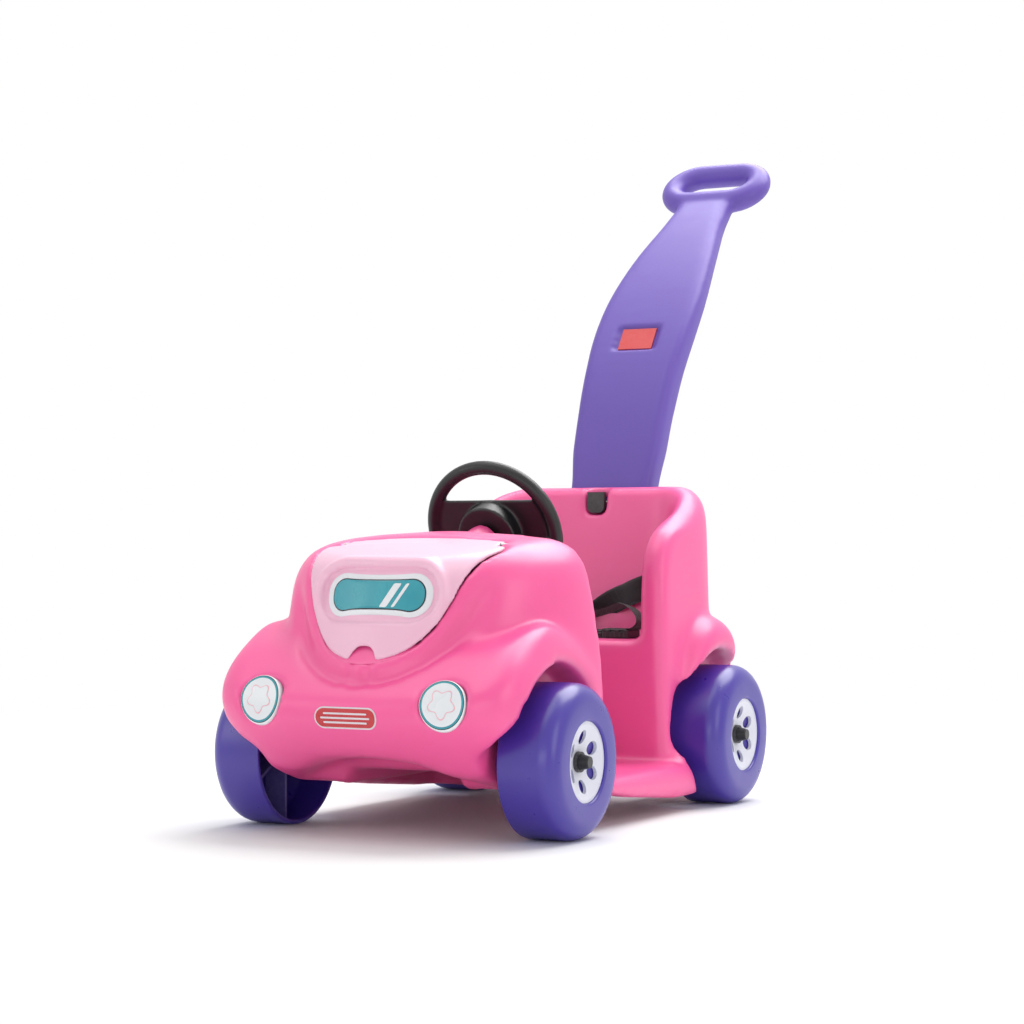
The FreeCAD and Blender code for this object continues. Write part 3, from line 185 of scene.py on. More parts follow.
# A bounce colour tones down the light that a strong colour throws on its surroundings.
def mouldedMaterial(name, base, specular, inputs, subsurface=0.0, bounce=None):
    material, tree, shader = newMaterial(name)
    skin = tree.nodes.new("ShaderNodeGroup")
    skin.node_tree = mouldedSkin
    skin.inputs["Colour"].default_value = base
    for key, value in inputs.items():
        skin.inputs[key].default_value = value
    shown = skin.outputs["Colour"]
    if bounce:
        path = addNode(tree, "ShaderNodeLightPath")
        thrown = worked(tree, "MULTIPLY", path.outputs["Is Diffuse Ray"], bounceShare)
        shown = blended(tree, thrown, shown, bounce)
    tree.links.new(shown, shader.inputs["Base Color"])
    wire(tree, (skin, "Roughness", shader, "Roughness"), (skin, "Normal", shader, "Normal"))
    setValues(shader, **{"Specular IOR Level": specular})
    if subsurface:
        setValues(shader, **{"Subsurface Weight": subsurface, "Subsurface Radius": (1.0, 0.45, 0.6),
                             "Subsurface Scale": 0.004})
    return material


# Each plastic: colour, specular, the skin's values in the order of skinKeys, subsurface and bounce colour
skinKeys = ("Roughness", "Cloud", "Drift", "Grain Scale", "Grain Height", "Wear")
pinkShell, paleLid, purpleHandle, purpleWheel, blackPlastic, whiteDisc, lampWhite, redPlate = (
    mouldedMaterial(name, colour(*base), specular, dict(zip(skinKeys, values)), *more)
    for name, base, specular, values, *more in (
        ("pinkShell", (248, 84, 155), 0.9, (0.38, 0.10, 0.05, 700.0, 0.00005, 0.10), 0.12, colour(190, 160, 172)),
        ("paleLid", (243, 190, 213), 0.7, (0.36, 0.10, 0.03, 700.0, 0.00004, 0.08), 0.10),
        ("purpleHandle", (104, 80, 174), 0.5, (0.44, 0.14, 0.06, 520.0, 0.00030, 0.16)),
        ("purpleWheel", (62, 43, 154), 0.7, (0.30, 0.14, 0.06, 650.0, 0.00005, 0.20)),
        ("blackPlastic", (17, 15, 18), 0.5, (0.38, 0.16, 0.10, 1100.0, 0.00010, 0.10)),
        ("whiteDisc", (222, 223, 234), 0.45, (0.34, 0.12, 0.03, 800.0, 0.00004, 0.05)),
        ("lampWhite", (240, 243, 246), 0.45, (0.24, 0.08, 0.02, 900.0, 0.00002, 0.0)),
        ("redPlate", (214, 52, 52), 0.45, (0.40, 0.12, 0.05, 900.0, 0.00005, 0.10))))


# Bare bar: fine drawn lines along the length, with small stains.
def steelMaterial():
    material, tree, shader = newMaterial("drawnSteel")
    link = tree.links.new
    place = addNode(tree, "ShaderNodeTexCoord")
    stretch = addNode(tree, "ShaderNodeMapping", Scale=(30, 2400, 2400))
    lines = addNode(tree, "ShaderNodeTexNoise", Scale=1.0, Detail=3.0)
    stains = addNode(tree, "ShaderNodeTexNoise", Scale=55.0, Detail=5.0)
    wire(tree, (place, "Object", stretch, "Vector"), (stretch, "Vector", lines, "Vector"),
         (place, "Object", stains, "Vector"))
    link(ranged(tree, lines.outputs["Fac"], 0.24, 0.46), shader.inputs["Roughness"])
    link(blended(tree, stains.outputs["Fac"], colour(205, 206, 210), colour(168, 166, 164)),
         shader.inputs["Base Color"])
    shader.inputs["Metallic"].default_value = 1.0
    return material


drawnSteel = steelMaterial()


# Webbing: ribs across the strap with finer threads along it, from the strap's own coordinates.
def webbingMaterial():
    material, tree, shader = newMaterial("wovenWebbing")
    link = tree.links.new
    place = addNode(tree, "ShaderNodeUVMap", uv_map="strap")
    ribs, threads = (
        addNode(tree, "ShaderNodeTexWave", Scale=scale, Distortion=bend, Detail=1.0, bands_direction=way)
        for scale, bend, way in ((420.0, 0.6, "Y"), (300.0, 0.4, "X")))
    fuzz = addNode(tree, "ShaderNodeTexNoise", Scale=900.0, Detail=4.0)
    for texture in (ribs, threads, fuzz):
        link(place.outputs["UV"], texture.inputs["Vector"])
    weave = worked(tree, "MULTIPLY_ADD", threads.outputs["Fac"], 0.5, ribs.outputs["Fac"])
    link(blended(tree, weave, colour(18, 17, 20), colour(44, 42, 47)), shader.inputs["Base Color"])
    link(ranged(tree, fuzz.outputs["Fac"], 0.62, 0.9), shader.inputs["Roughness"])
    bump = addNode(tree, "ShaderNodeBump", Strength=0.7, Distance=0.0003)
    link(weave, bump.inputs["Height"])
    link(bump.outputs["Normal"], shader.inputs["Normal"])
    shader.inputs["Sheen Weight"].default_value = 0.25
    return material


wovenWebbing = webbingMaterial()


# Printed ink: flat colour with a faint halftone and a satin film on top.
def inkMaterial(name, base, second, scale):
    material, tree, shader = newMaterial(name)
    link = tree.links.new
    place = addNode(tree, "ShaderNodeTexCoord")
    cloud = addNode(tree, "ShaderNodeTexNoise", Scale=scale, Detail=2.0)
    link(place.outputs["Object"], cloud.inputs["Vector"])
    link(blended(tree, cloud.outputs["Fac"], base, second), shader.inputs["Base Color"])
    link(ranged(tree, cloud.outputs["Fac"], 0.22, 0.34), shader.inputs["Roughness"])
    return material


inkWhite = inkMaterial("inkWhite", colour(238, 240, 243), colour(226, 230, 234), 24.0)
inkTeal = inkMaterial("inkTeal", colour(70, 172, 182), colour(40, 140, 158), 30.0)
inkDark = inkMaterial("inkDark", colour(30, 28, 34), colour(44, 40, 48), 60.0)
inkPink = inkMaterial("inkPink", colour(244, 190, 200), colour(240, 176, 190), 60.0)
inkRed = inkMaterial("inkRed", colour(186, 40, 52), colour(206, 66, 70), 40.0)
inkSilver = inkMaterial("inkSilver", colour(214, 206, 214), colour(236, 226, 232), 40.0)
print("materials made")


def dress(obj, material):
    obj.data.materials.clear()
    obj.data.materials.append(material)


def addPiece(name, mesh, material, body):
    obj = bpy.data.objects.new(name, mesh)
    scene.collection.objects.link(obj)
    dress(obj, material)
    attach(obj, body)
    return obj


def pointsOf(mesh):
    points = np.empty(len(mesh.vertices) * 3, np.float32)
    mesh.vertices.foreach_get("co", points)
    return points.reshape(-1, 3).astype(float)


def setPoints(mesh, points):
    mesh.vertices.foreach_set("co", np.asarray(points, np.float32).ravel())
    mesh.update()


def smoothShaded(mesh):
    mesh.polygons.foreach_set("use_smooth", np.ones(len(mesh.polygons), bool))


def edited(mesh, change):
    whole = bmesh.new()
    whole.from_mesh(mesh)
    change(whole)
    whole.to_mesh(mesh)
    whole.free()


def outwardFaces(mesh):
    edited(mesh, lambda whole: bmesh.ops.recalc_face_normals(whole, faces=whole.faces))


def meshOf(name, spots, faces, edges=()):
    mesh = bpy.data.meshes.new(name)
    mesh.from_pydata(spots, edges, faces)
    return mesh


# A grid of faces over rows of points
def gridFaces(rows, columns):
    return [(low, low + 1, low + 1 + columns, low + columns)
            for row in range(rows - 1) for low in range(row * columns, (row + 1) * columns - 1)]


# What a mesh becomes under one modifier
def underModifier(name, mesh, kind, setUp):
    work = bpy.data.objects.new(name + "_work", mesh)
    scene.collection.objects.link(work)
    setUp(work.modifiers.new("maker", kind))
    made = bpy.data.meshes.new_from_object(work.evaluated_get(bpy.context.evaluated_depsgraph_get()))
    bpy.data.objects.remove(work)
    return made


def castTree(obj):
    return BVHTree.FromObject(obj, bpy.context.evaluated_depsgraph_get())


# The factors of a surface through measured heights
def fitted(rows, heights):
    return np.linalg.lstsq(np.array(rows), np.array(heights), rcond=None)[0]


relaxShare = 0.5
weldReach = 0.00002


# Moves every point towards the mean of its neighbours, a number of rounds.
def relaxed(mesh, points, rounds):
    edges = np.empty(len(mesh.edges) * 2, np.int32)
    mesh.edges.foreach_get("vertices", edges)
    first, second = edges[0::2], edges[1::2]
    count = np.bincount(edges, minlength=len(points))[:, None]
    moved = points.copy()
    for _ in range(rounds):
        total = np.stack([np.bincount(first, moved[second, k], len(moved))
                          + np.bincount(second, moved[first, k], len(moved)) for k in range(3)], 1)
        moved += relaxShare * (total / count - moved)
    return moved


# A blow-moulded skin over a CAD node: even small facets, then soft inner and outer corners.
def mouldedSkinOver(nodeName, sizes, softness, shaping=None):
    mesh = nodes[nodeName].data.copy()
    edited(mesh, lambda whole: bmesh.ops.remove_doubles(whole, verts=whole.verts, dist=weldReach))

    def setUp(remesh):
        remesh.mode, remesh.voxel_size, remesh.adaptivity = "VOXEL", sizes["voxel"], 0.0

    fine = underModifier(nodeName, mesh, "REMESH", setUp)
    points = pointsOf(fine)
    crisp = relaxed(fine, points, sizes["crispRounds"])
    soft = relaxed(fine, crisp, sizes["softRounds"])
    weight = softness(points)[:, None]
    final = crisp * (1 - weight) + soft * weight
    if "roundRounds" in sizes:
        more = sizes["roundAt"](points)[:, None]
        final = final * (1 - more) + relaxed(fine, final, sizes["roundRounds"]) * more
    smoothShaded(fine)
    setPoints(fine, final)
    if shaping:
        normals = np.empty(len(final) * 3, np.float32)
        fine.vertices.foreach_get("normal", normals)
        setPoints(fine, shaping(final, normals.reshape(-1, 3)))
    print(nodeName, "skin", len(fine.polygons))
    return fine


def ramp(values, low, high):
    share = np.clip((values - low) / (high - low), 0, 1)
    return share * share * (3 - 2 * share)


# The lid's outline is given as shares of its half width and its length.
lidSizes = {"angle": math.radians(40.6), "halfWidth": 0.127, "length": 0.209, "top": (frontAxle + 0.028, 0.358),
            "margin": 0.012, "steps": 60}
lidShares = ((0.97, 0.06), (1.0, 0.10), (0.955, 0.27), (0.86, 0.47), (0.765, 0.625), (0.64, 0.755),
             (0.485, 0.872), (0.30, 0.955), (0.15, 0.99), (0.0, 1.0))
lampSizes = {"spread": 0.127, "y": frontAxle - 0.1552, "z": 0.171, "turn": math.radians(5.5),
             "tilt": math.radians(22), "radius": 0.0298, "crown": 0.0014, "depth": 0.010,
             "flatten": 0.45, "turns": 64, "rings": (0.15, 0.32, 0.5, 0.66, 0.8, 0.91), "casts": 32,
             "castShares": (1.2, 1.3, 1.42), "castFrom": 0.08, "film": 0.0002,
             "edge": ((0.965, 0.0001), (0.99, -0.0005), (1.0, -0.0016))}


# Where points lie from the lid's top: across, down its slope and out from it
def lidPlace(points):
    sine, cosine = math.sin(lidSizes["angle"]), math.cos(lidSizes["angle"])
    y, z = points[:, 1] - lidSizes["top"][0], points[:, 2] - lidSizes["top"][1]
    return points[:, 0], -y * cosine - z * sine, -y * sine + z * cosine


# How far a point lies outside the lid's outline, measured in the lid's plane
def beyondLid(x, down):
    shares = np.linspace(0, 1, lidSizes["steps"])
    widths = np.interp(shares, [s for _, s in lidShares], [w for w, _ in lidShares]) * lidSizes["halfWidth"]
    drops = shares * lidSizes["length"]
    gap = np.full(len(x), np.inf)
    for width, drop in zip(widths, drops):
        gap = np.minimum(gap, np.hypot(np.abs(x) - width, down - drop))
    inside = (np.abs(x) < np.interp(down, drops, widths)) & (down < lidSizes["length"])
    return np.where(inside & (down > -lidSizes["margin"]), -gap, gap)


# How far points lie from a place, with the car's two sides folded together
def reachFrom(points, place):
    folded = np.column_stack((np.abs(points[:, 0]), points[:, 1:]))
    return np.linalg.norm(folded - place, axis=1)


softSizes = {"lidEdge": (0.006, 0.02), "lidDepth": (0.05, 0.09), "tubFront": (-0.10, -0.07),
             "tubFoot": (0.24, 0.29), "tubCrisp": 0.55, "lampEdge": (0.036, 0.06),
             "latch": (0, 0.105, 0.4168), "latchEdge": (0.03, 0.05)}


# Body skin: soft all over, crisper round the lid, the lamps, the latch and the tub's rim
def bodySoftness(points):
    x, down, out = lidPlace(points)
    weight = np.maximum(ramp(beyondLid(x, down), *softSizes["lidEdge"]), ramp(-out, *softSizes["lidDepth"]))
    tub = ramp(points[:, 1], *softSizes["tubFront"]) * ramp(points[:, 2], *softSizes["tubFoot"])
    weight = weight * (1 - softSizes["tubCrisp"] * tub)
    lamp = reachFrom(points, [lampSizes[key] for key in ("spread", "y", "z")])
    weight = np.minimum(weight, ramp(lamp, *softSizes["lampEdge"]))
    return np.minimum(weight, ramp(reachFrom(points, softSizes["latch"]), *softSizes["latchEdge"]))


roundSizes = {"hoodFoot": (0.29, 0.33), "hoodBack": (0.30, 0.36), "lidEdge": (0.016, 0.04), "rim": (0.37, 0.41),
              "side": (0.10, 0.14), "rear": (-0.06, -0.02), "chinFront": (0.49, 0.53), "chinTop": (-0.15, -0.12)}


# The hood's shoulders, the tub's rear corners and the chin are rounder than the rest.
def roundPlaces(points):
    x, down, _ = lidPlace(points)
    wide, y, z = np.abs(points[:, 0]), points[:, 1], points[:, 2]
    shoulder = ramp(z, *roundSizes["hoodFoot"]) * ramp(-y, *roundSizes["hoodBack"])
    shoulder = shoulder * ramp(beyondLid(x, down), *roundSizes["lidEdge"])
    corner = ramp(z, *roundSizes["rim"]) * ramp(wide, *roundSizes["side"]) * ramp(y, *roundSizes["rear"])
    chin = ramp(-y, *roundSizes["chinFront"]) * ramp(-z, *roundSizes["chinTop"])
    return np.maximum(np.maximum(shoulder, corner), chin)


bodySizes = {"voxel": 0.0043, "crispRounds": 4, "softRounds": 17, "roundRounds": 46, "roundAt": roundPlaces,
             "lipAt": 0.025, "lipWidth": 0.0095, "lipDepth": 0.0080, "lipDown": (0.07, 0.14),
             "lipOut": (-0.06, -0.04), "lipFacing": (0.1, 0.4)}
crownSizes = {"lift": 0.012, "x": 0.205, "y": -0.455, "halfWidth": 0.03, "halfLength": 0.05, "foot": (0.20, 0.25),
              "facing": (-0.2, 0.8)}
cornerSizes = {"fall": 0.034, "from": 0.118, "reach": 0.07, "power": 2.2, "foot": (0.36, 0.44),
               "rear": (-0.08, 0.0)}
bossSizes = {"centre": np.array((0, -0.2097, 0.3736)), "way": np.array((0, 0.930418, 0.366501)), "core": 0.0135,
             "keep": 0.40, "start": (-0.112, -0.088), "end": -0.02, "reach": 0.042, "least": 0.001}


# The hood's lower rim rolls in to a hollow before the bumper, the fenders' crowns stand a little higher,
# the tub's rear corners fall away, and the boss for the steering column is low.
def bodyShaping(points, normals):
    x, down, out = lidPlace(points)
    wide, y, z = np.abs(points[:, 0]), points[:, 1], points[:, 2]
    band = np.exp(-((beyondLid(x, down) - bodySizes["lipAt"]) / bodySizes["lipWidth"]) ** 2)
    lower = ramp(down, *bodySizes["lipDown"]) * ramp(out, *bodySizes["lipOut"])
    lower = lower * ramp(-normals[:, 1], *bodySizes["lipFacing"])
    shaped = points - normals * (bodySizes["lipDepth"] * band * lower)[:, None]
    size = crownSizes
    crown = np.exp(-((wide - size["x"]) / size["halfWidth"]) ** 2 - ((y - size["y"]) / size["halfLength"]) ** 2)
    shaped[:, 2] += size["lift"] * crown * ramp(z, *size["foot"]) * ramp(normals[:, 2], *size["facing"])
    size = cornerSizes
    corner = np.clip((wide - size["from"]) / size["reach"], 0, 1) ** size["power"]
    shaped[:, 2] -= size["fall"] * corner * ramp(z, *size["foot"]) * ramp(y, *size["rear"])
    centre, way, core = (bossSizes[key] for key in ("centre", "way", "core"))
    along = (shaped - centre) @ way
    axis = centre + along[:, None] * way
    reach = np.linalg.norm(shaped - axis, axis=1)
    boss = ramp(along, *bossSizes["start"]) * (along < bossSizes["end"])
    boss = boss * (reach < bossSizes["reach"]) * (reach > core)
    slim = core + (reach - core) * bossSizes["keep"]
    scale = 1 + boss * (slim / np.maximum(reach, bossSizes["least"]) - 1)
    return axis + (shaped - axis) * scale[:, None]


bodyMesh = mouldedSkinOver("body_shell", bodySizes, bodySoftness, bodyShaping)
bodySkin = addPiece("bodySkin", bodyMesh, pinkShell, "chassis")
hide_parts("body_shell")

lidSkinSizes = {"voxel": 0.0019, "crispRounds": 4, "softRounds": 12, "window": (0.082, 0.0335, 0.033),
                "windowZ": 0.2955, "browAt": 0.007, "browWidth": 0.0055, "browHeight": 0.0045,
                "browFoot": (-0.03, 0.0), "browFacing": (0.2, 0.5), "hingeEase": 0.0013,
                "easeDown": (-0.024, -0.012), "softShare": 0.5}


# The same softness at every point
def evenly(share):
    return lambda points: np.full(len(points), share)


# A raised brow runs round the windscreen's recess, fullest at its top and sides. The hinged edge is eased.
def lidShaping(points, normals):
    wide, tall, corner = lidSkinSizes["window"]
    x, z = np.abs(points[:, 0]), points[:, 2] - lidSkinSizes["windowZ"]
    past = np.hypot(np.maximum(x - wide + corner, 0), np.maximum(np.abs(z) - tall + corner, 0)) - corner
    band = np.exp(-((past - lidSkinSizes["browAt"]) / lidSkinSizes["browWidth"]) ** 2)
    band = band * ramp(z, *lidSkinSizes["browFoot"]) * ramp(-normals[:, 1], *lidSkinSizes["browFacing"])
    ease = lidSkinSizes["hingeEase"] * ramp(-lidPlace(points)[1], *lidSkinSizes["easeDown"])
    return points + normals * (lidSkinSizes["browHeight"] * band - ease)[:, None]


lidMesh = mouldedSkinOver("hood_lid", lidSkinSizes, evenly(lidSkinSizes["softShare"]), lidShaping)
lidSkin = addPiece("lidSkin", lidMesh, paleLid, "hood")
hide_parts("hood_lid")

lipSizes = {"half": 0.062, "foot": -0.005, "top": 0.032, "behind": 0.0115, "thick": 0.003, "rows": 10,
            "columns": 25, "least": 0.002, "casts": (0.022, 0.034, 0.046, 0.058), "castHeights": (0.026, 0.05),
            "castRows": 6, "castFrom": -1}


# The store's lip behind the finger notch follows the lid's inner face and stays on the car.
def storeLip():
    tree = castTree(lidSkin)
    widths, shares = (np.array([pair[k] for pair in lidShares[::-1]]) for k in (0, 1))
    columns = np.linspace(-lipSizes["half"], lipSizes["half"], lipSizes["columns"])
    drops = np.interp(np.abs(columns), widths * lidSizes["halfWidth"], shares) * lidSizes["length"]
    lowest = pointsOf(lidSkin.data)[:, 2].min()
    feet = lowest + (lidSizes["length"] - drops) * math.sin(lidSizes["angle"])
    rows, heights = [], []
    for x in lipSizes["casts"]:
        for z in lowest + np.linspace(*lipSizes["castHeights"], lipSizes["castRows"]):
            hit = tree.ray_cast(Vector((x, lipSizes["castFrom"], z)), Vector((0, 1, 0)))[0]
            rows.append((1, z, x * x))
            heights.append(hit.y)
    level, slope, bend = fitted(rows, heights)
    spots = []
    for share in np.linspace(0, 1, lipSizes["rows"]):
        for x, foot in zip(columns, feet):
            tall = lipSizes["top"] * (1 - (x / lipSizes["half"]) ** 2) + lipSizes["least"]
            z = foot + lipSizes["foot"] + share * (tall - lipSizes["foot"])
            spots.append((x, level + slope * z + bend * x * x + lipSizes["behind"], z))
    mesh = meshOf("storeLip", spots, gridFaces(lipSizes["rows"], lipSizes["columns"]))
    edited(mesh, lambda whole: bmesh.ops.solidify(whole, geom=whole.faces[:], thickness=lipSizes["thick"]))
    outwardFaces(mesh)
    return mesh


addPiece("storeLip", storeLip(), pinkShell, "chassis")

handleSizes = {"voxel": 0.0032, "crispRounds": 4, "softRounds": 9, "grow": 0.0042, "neckGrow": 0.0022,
               "neckAt": 0.815, "neckLength": 0.04, "edge": (0.012, 0.03), "low": (0.44, 0.50),
               "high": (-0.90, -0.86), "badgeAt": 0.6615, "badgeShape": 1.4, "badgeEdge": (0.03, 0.06),
               "pivot": (0.13, 0.2)}


# The blade is a little wider than its softened skin.
def handleShaping(points, normals):
    size, z = handleSizes, points[:, 2]
    grow = size["grow"] + size["neckGrow"] * np.exp(-((z - size["neckAt"]) / size["neckLength"]) ** 2)
    share = ramp(np.abs(points[:, 0]), *size["edge"]) * ramp(z, *size["low"]) * ramp(-z, *size["high"])
    shaped = points.copy()
    shaped[:, 0] += np.sign(points[:, 0]) * grow * share
    return shaped


def handleSoftness(points):
    badge = np.hypot(points[:, 0] / handleSizes["badgeShape"], points[:, 2] - handleSizes["badgeAt"])
    return ramp(badge, *handleSizes["badgeEdge"]) * ramp(points[:, 2], *handleSizes["pivot"])


handleMesh = mouldedSkinOver("push_handle", handleSizes, handleSoftness, handleShaping)
handleSkin = addPiece("handleSkin", handleMesh, purpleHandle, "handle")
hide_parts("push_handle")

steeringSizes = {"voxel": 0.0016, "crispRounds": 4, "softRounds": 10, "softShare": 0.6}
steeringMesh = mouldedSkinOver("steering_wheel", steeringSizes, evenly(steeringSizes["softShare"]))
steeringSkin = addPiece("steeringSkin", steeringMesh, blackPlastic, "steering")
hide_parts("steering_wheel")
print("skins made")

# Wheels: one turned outline each, with soft edges for the light to catch, and ribs in the hollow
tyreSizes = {"segments": 168, "radius": 0.095, "face": 0.080, "shoulder": 0.024, "wall": 0.006, "rim": 0.0495,
             "rimDepth": 0.008, "dish": 0.057, "hub": 0.014, "hubReach": 0.004, "bore": 0.0051, "edge": 0.0024,
             "rimBend": 0.003, "seatBend": 0.001, "boreBend": 0.0004, "hubBend": 0.003, "dishBend": 0.004,
             "slopeBend": 0.006, "treadBend": 0.008, "inner": 0.1635, "ribs": 6, "ribHalf": 0.002,
             "ribFrom": 0.024, "ribTo": 0.054, "ribFoot": 0.003}


def softOutline(corners, steps=8):
    spots = []
    for index, (r, h, bend) in enumerate(corners):
        here = Vector((r, h))
        before = (Vector(corners[index - 1][:2]) - here).normalized()
        after = (Vector(corners[(index + 1) % len(corners)][:2]) - here).normalized()
        half = before.angle(after) / 2
        centre = here + (before + after).normalized() * (bend / math.sin(half))
        start = here + before * (bend / math.tan(half)) - centre
        sweep = start.angle_signed(here + after * (bend / math.tan(half)) - centre)
        first = math.atan2(start.y, start.x)
        for k in range(steps + 1):
            angle = first - sweep * k / steps
            spots.append(centre + Vector((math.cos(angle), math.sin(angle))) * bend)
    return spots


def tyreMesh(name, side, axle):
    t = tyreSizes
    inside, slope = t["radius"] - t["wall"], t["shoulder"] - t["wall"]
    back = t["face"] - 2 * t["wall"]
    outline = softOutline([
        (t["radius"], t["hubReach"], t["edge"]), (t["radius"], t["face"], t["shoulder"]),
        (t["rim"], t["face"], t["rimBend"]), (t["rim"], t["face"] - t["rimDepth"], t["seatBend"]),
        (t["bore"], t["dish"], t["boreBend"]), (t["bore"], 0, t["boreBend"]), (t["hub"], 0, t["seatBend"]),
        (t["hub"], t["dish"] - t["wall"], t["hubBend"]), (t["rim"], back - t["rimDepth"], t["dishBend"]),
        (inside - slope, back, t["slopeBend"]), (inside, back - slope, t["treadBend"]),
        (inside, t["hubReach"], t["edge"])])
    count, turns = len(outline), t["segments"]
    spots, faces = [], []
    for j in range(turns):
        angle = 2 * math.pi * j / turns
        for r, h in outline:
            spots.append((side * (t["inner"] + h), axle + r * math.sin(angle),
                          t["radius"] + r * math.cos(angle)))
        for i in range(count):
            a, b = j * count + i, j * count + (i + 1) % count
            shift = count if j < turns - 1 else -j * count
            faces.append((a, b, b + shift, a + shift))
    mesh = meshOf(name, spots, faces)
    outwardFaces(mesh)
    smoothShaded(mesh)
    return mesh


# A tree that takes a mesh, more inputs and a material, and gives a mesh
def newTree(name, *inputs):
    shape = ("Geometry", "Geometry")
    return newGroup(name, "Geometry", [shape, *inputs, ("Material", "Material")], [shape])


def finishTree(tree, source, copies, sink):
    whole = tree.nodes.new("GeometryNodeRealizeInstances")
    dressed = tree.nodes.new("GeometryNodeSetMaterial")
    wire(tree, (copies, "Instances", whole, "Geometry"), (whole, "Geometry", dressed, "Geometry"),
         (source, "Material", dressed, "Material"), (dressed, "Geometry", sink, "Geometry"))


# Even copies of one shape, turned about the axle
def turnedCopies():
    tree, keys, source, sink = newTree("turnedCopies", ("Count", "Int"))
    points = tree.nodes.new("GeometryNodePoints")
    number = tree.nodes.new("GeometryNodeInputIndex")
    step = worked(tree, "DIVIDE", 2 * math.pi, source.outputs["Count"])
    angle = worked(tree, "MULTIPLY", number.outputs["Index"], step)
    turn = tree.nodes.new("ShaderNodeCombineXYZ")
    copies = tree.nodes.new("GeometryNodeInstanceOnPoints")
    tree.links.new(angle, turn.inputs["X"])
    wire(tree, (source, "Count", points, "Count"), (points, 0, copies, "Points"),
         (source, "Geometry", copies, "Instance"), (turn, "Vector", copies, "Rotation"))
    finishTree(tree, source, copies, sink)
    return tree, keys


def grown(name, base, tree, keys, values):
    def setUp(maker):
        maker.node_group = tree
        for label, value in values.items():
            maker[keys[label]] = value

    return underModifier(name, base, "NODES", setUp)


ribTree, ribKeys = turnedCopies()
for name, side, axle in (("front_left", 1, frontAxle), ("front_right", -1, frontAxle),
                         ("rear_left", 1, rearAxle), ("rear_right", -1, rearAxle)):
    body = name + "_wheel"
    tyre = addPiece("tyre_" + name, tyreMesh("tyre_" + name, side, axle), purpleWheel, body)
    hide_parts("wheel_" + name)
    ends = [side * (tyreSizes["inner"] + tyreSizes[key]) for key in ("ribFrom", "ribTo")]
    low, high = tyreSizes["hub"] - tyreSizes["ribFoot"], tyreSizes["radius"] - tyreSizes["wall"] / 2
    half = tyreSizes["ribHalf"]
    corners = [(x, y, z) for x in ends for y in (-half, half) for z in (low, high)]
    rib = meshOf("rib", corners, [(0, 1, 3, 2), (4, 6, 7, 5), (0, 4, 5, 1), (2, 3, 7, 6), (0, 2, 6, 4),
                                  (1, 5, 7, 3)])
    ribs = grown("ribs_" + name, rib, ribTree, ribKeys, {"Count": tyreSizes["ribs"], "Material": purpleWheel})
    setPoints(ribs, pointsOf(ribs) + (0, axle, tyreSizes["radius"]))
    outwardFaces(ribs)
    addPiece("ribs_" + name, ribs, purpleWheel, body)
print("wheels made")

# CAD pieces: a material for each start of a name
for material, starts in (
        (blackPlastic, "handle_latch belt_anchor_screws belt_buckle axle_"),
        (blackPlastic, "steering_bush steering_wheel horn_button"),
        (drawnSteel, "hood_hinge_pins latch_pin front_axle rear_axle steering_column steering_retainer"),
        (purpleWheel, "wheel_"), (purpleHandle, "push_handle"), (pinkShell, "body_shell"), (paleLid, "hood_lid"),
        (whiteDisc, "hub_disc"), (lampWhite, "headlamp_disc"), (redPlate, "handle_badge_plate"),
        (wovenWebbing, "belt_strap")):
    for nodeName, node in nodes.items():
        if nodeName.startswith(tuple(starts.split())):
            dress(node, material)
print("CAD pieces dressed")


printSizes = {"pitch": 0.004, "merge": 0.00005, "castFrom": 0.2}


# A print: a flat outline filled with small triangles and laid on the skin behind it.
def laidPrint(name, outline, origin, across, up, target, lift, material, body, slot, pitch=printSizes["pitch"]):
    count = len(outline)
    low = [min(p[k] for p in outline) for k in (0, 1)]
    high = [max(p[k] for p in outline) for k in (0, 1)]
    inner = []
    for i in range(1, int((high[0] - low[0]) / pitch) + 1):
        for j in range(1, int((high[1] - low[1]) / pitch) + 1):
            inner.append(Vector((low[0] + i * pitch, low[1] + j * pitch)))
    rim = [Vector(p) for p in outline]
    loop = [(i, (i + 1) % count) for i in range(count)]
    flat, _, faces, *_ = delaunay_2d_cdt(rim + inner, loop, [list(range(count))], 1, printSizes["merge"])
    tree = castTree(target)
    away = across.cross(up)
    spots = []
    for p in flat:
        start = origin + across * p.x + up * p.y
        hit, normal, _, _ = tree.ray_cast(start + away * printSizes["castFrom"], -away)
        spots.append(hit + normal * lift if hit else start)
    mesh = meshOf(name, spots, [list(f) for f in faces])
    smoothShaded(mesh)
    return addPiece(name, mesh, material, body)


def roundedBox(halfWidth, halfHeight, radius, lean=0.0, steps=8, centre=(0.0, 0.0)):
    points = []
    for k, (sx, sy) in enumerate(((1, 1), (-1, 1), (-1, -1), (1, -1))):
        for i in range(steps + 1):
            angle = math.pi / 2 * (k + i / steps)
            x = sx * (halfWidth - radius) + radius * math.cos(angle)
            y = sy * (halfHeight - radius) + radius * math.sin(angle)
            points.append((centre[0] + x + lean * y, centre[1] + y))
    return points


def ring(radius, steps=48):
    return [(radius * math.cos(2 * math.pi * i / steps), radius * math.sin(2 * math.pi * i / steps))
            for i in range(steps)]


def petals(radius, depth, count, steps=80):
    spots = []
    for i in range(steps):
        angle = 2 * math.pi * i / steps
        reach = radius * (1 - depth * (0.5 + 0.5 * math.cos(count * angle)))
        spots.append((reach * math.sin(angle), reach * math.cos(angle)))
    return spots


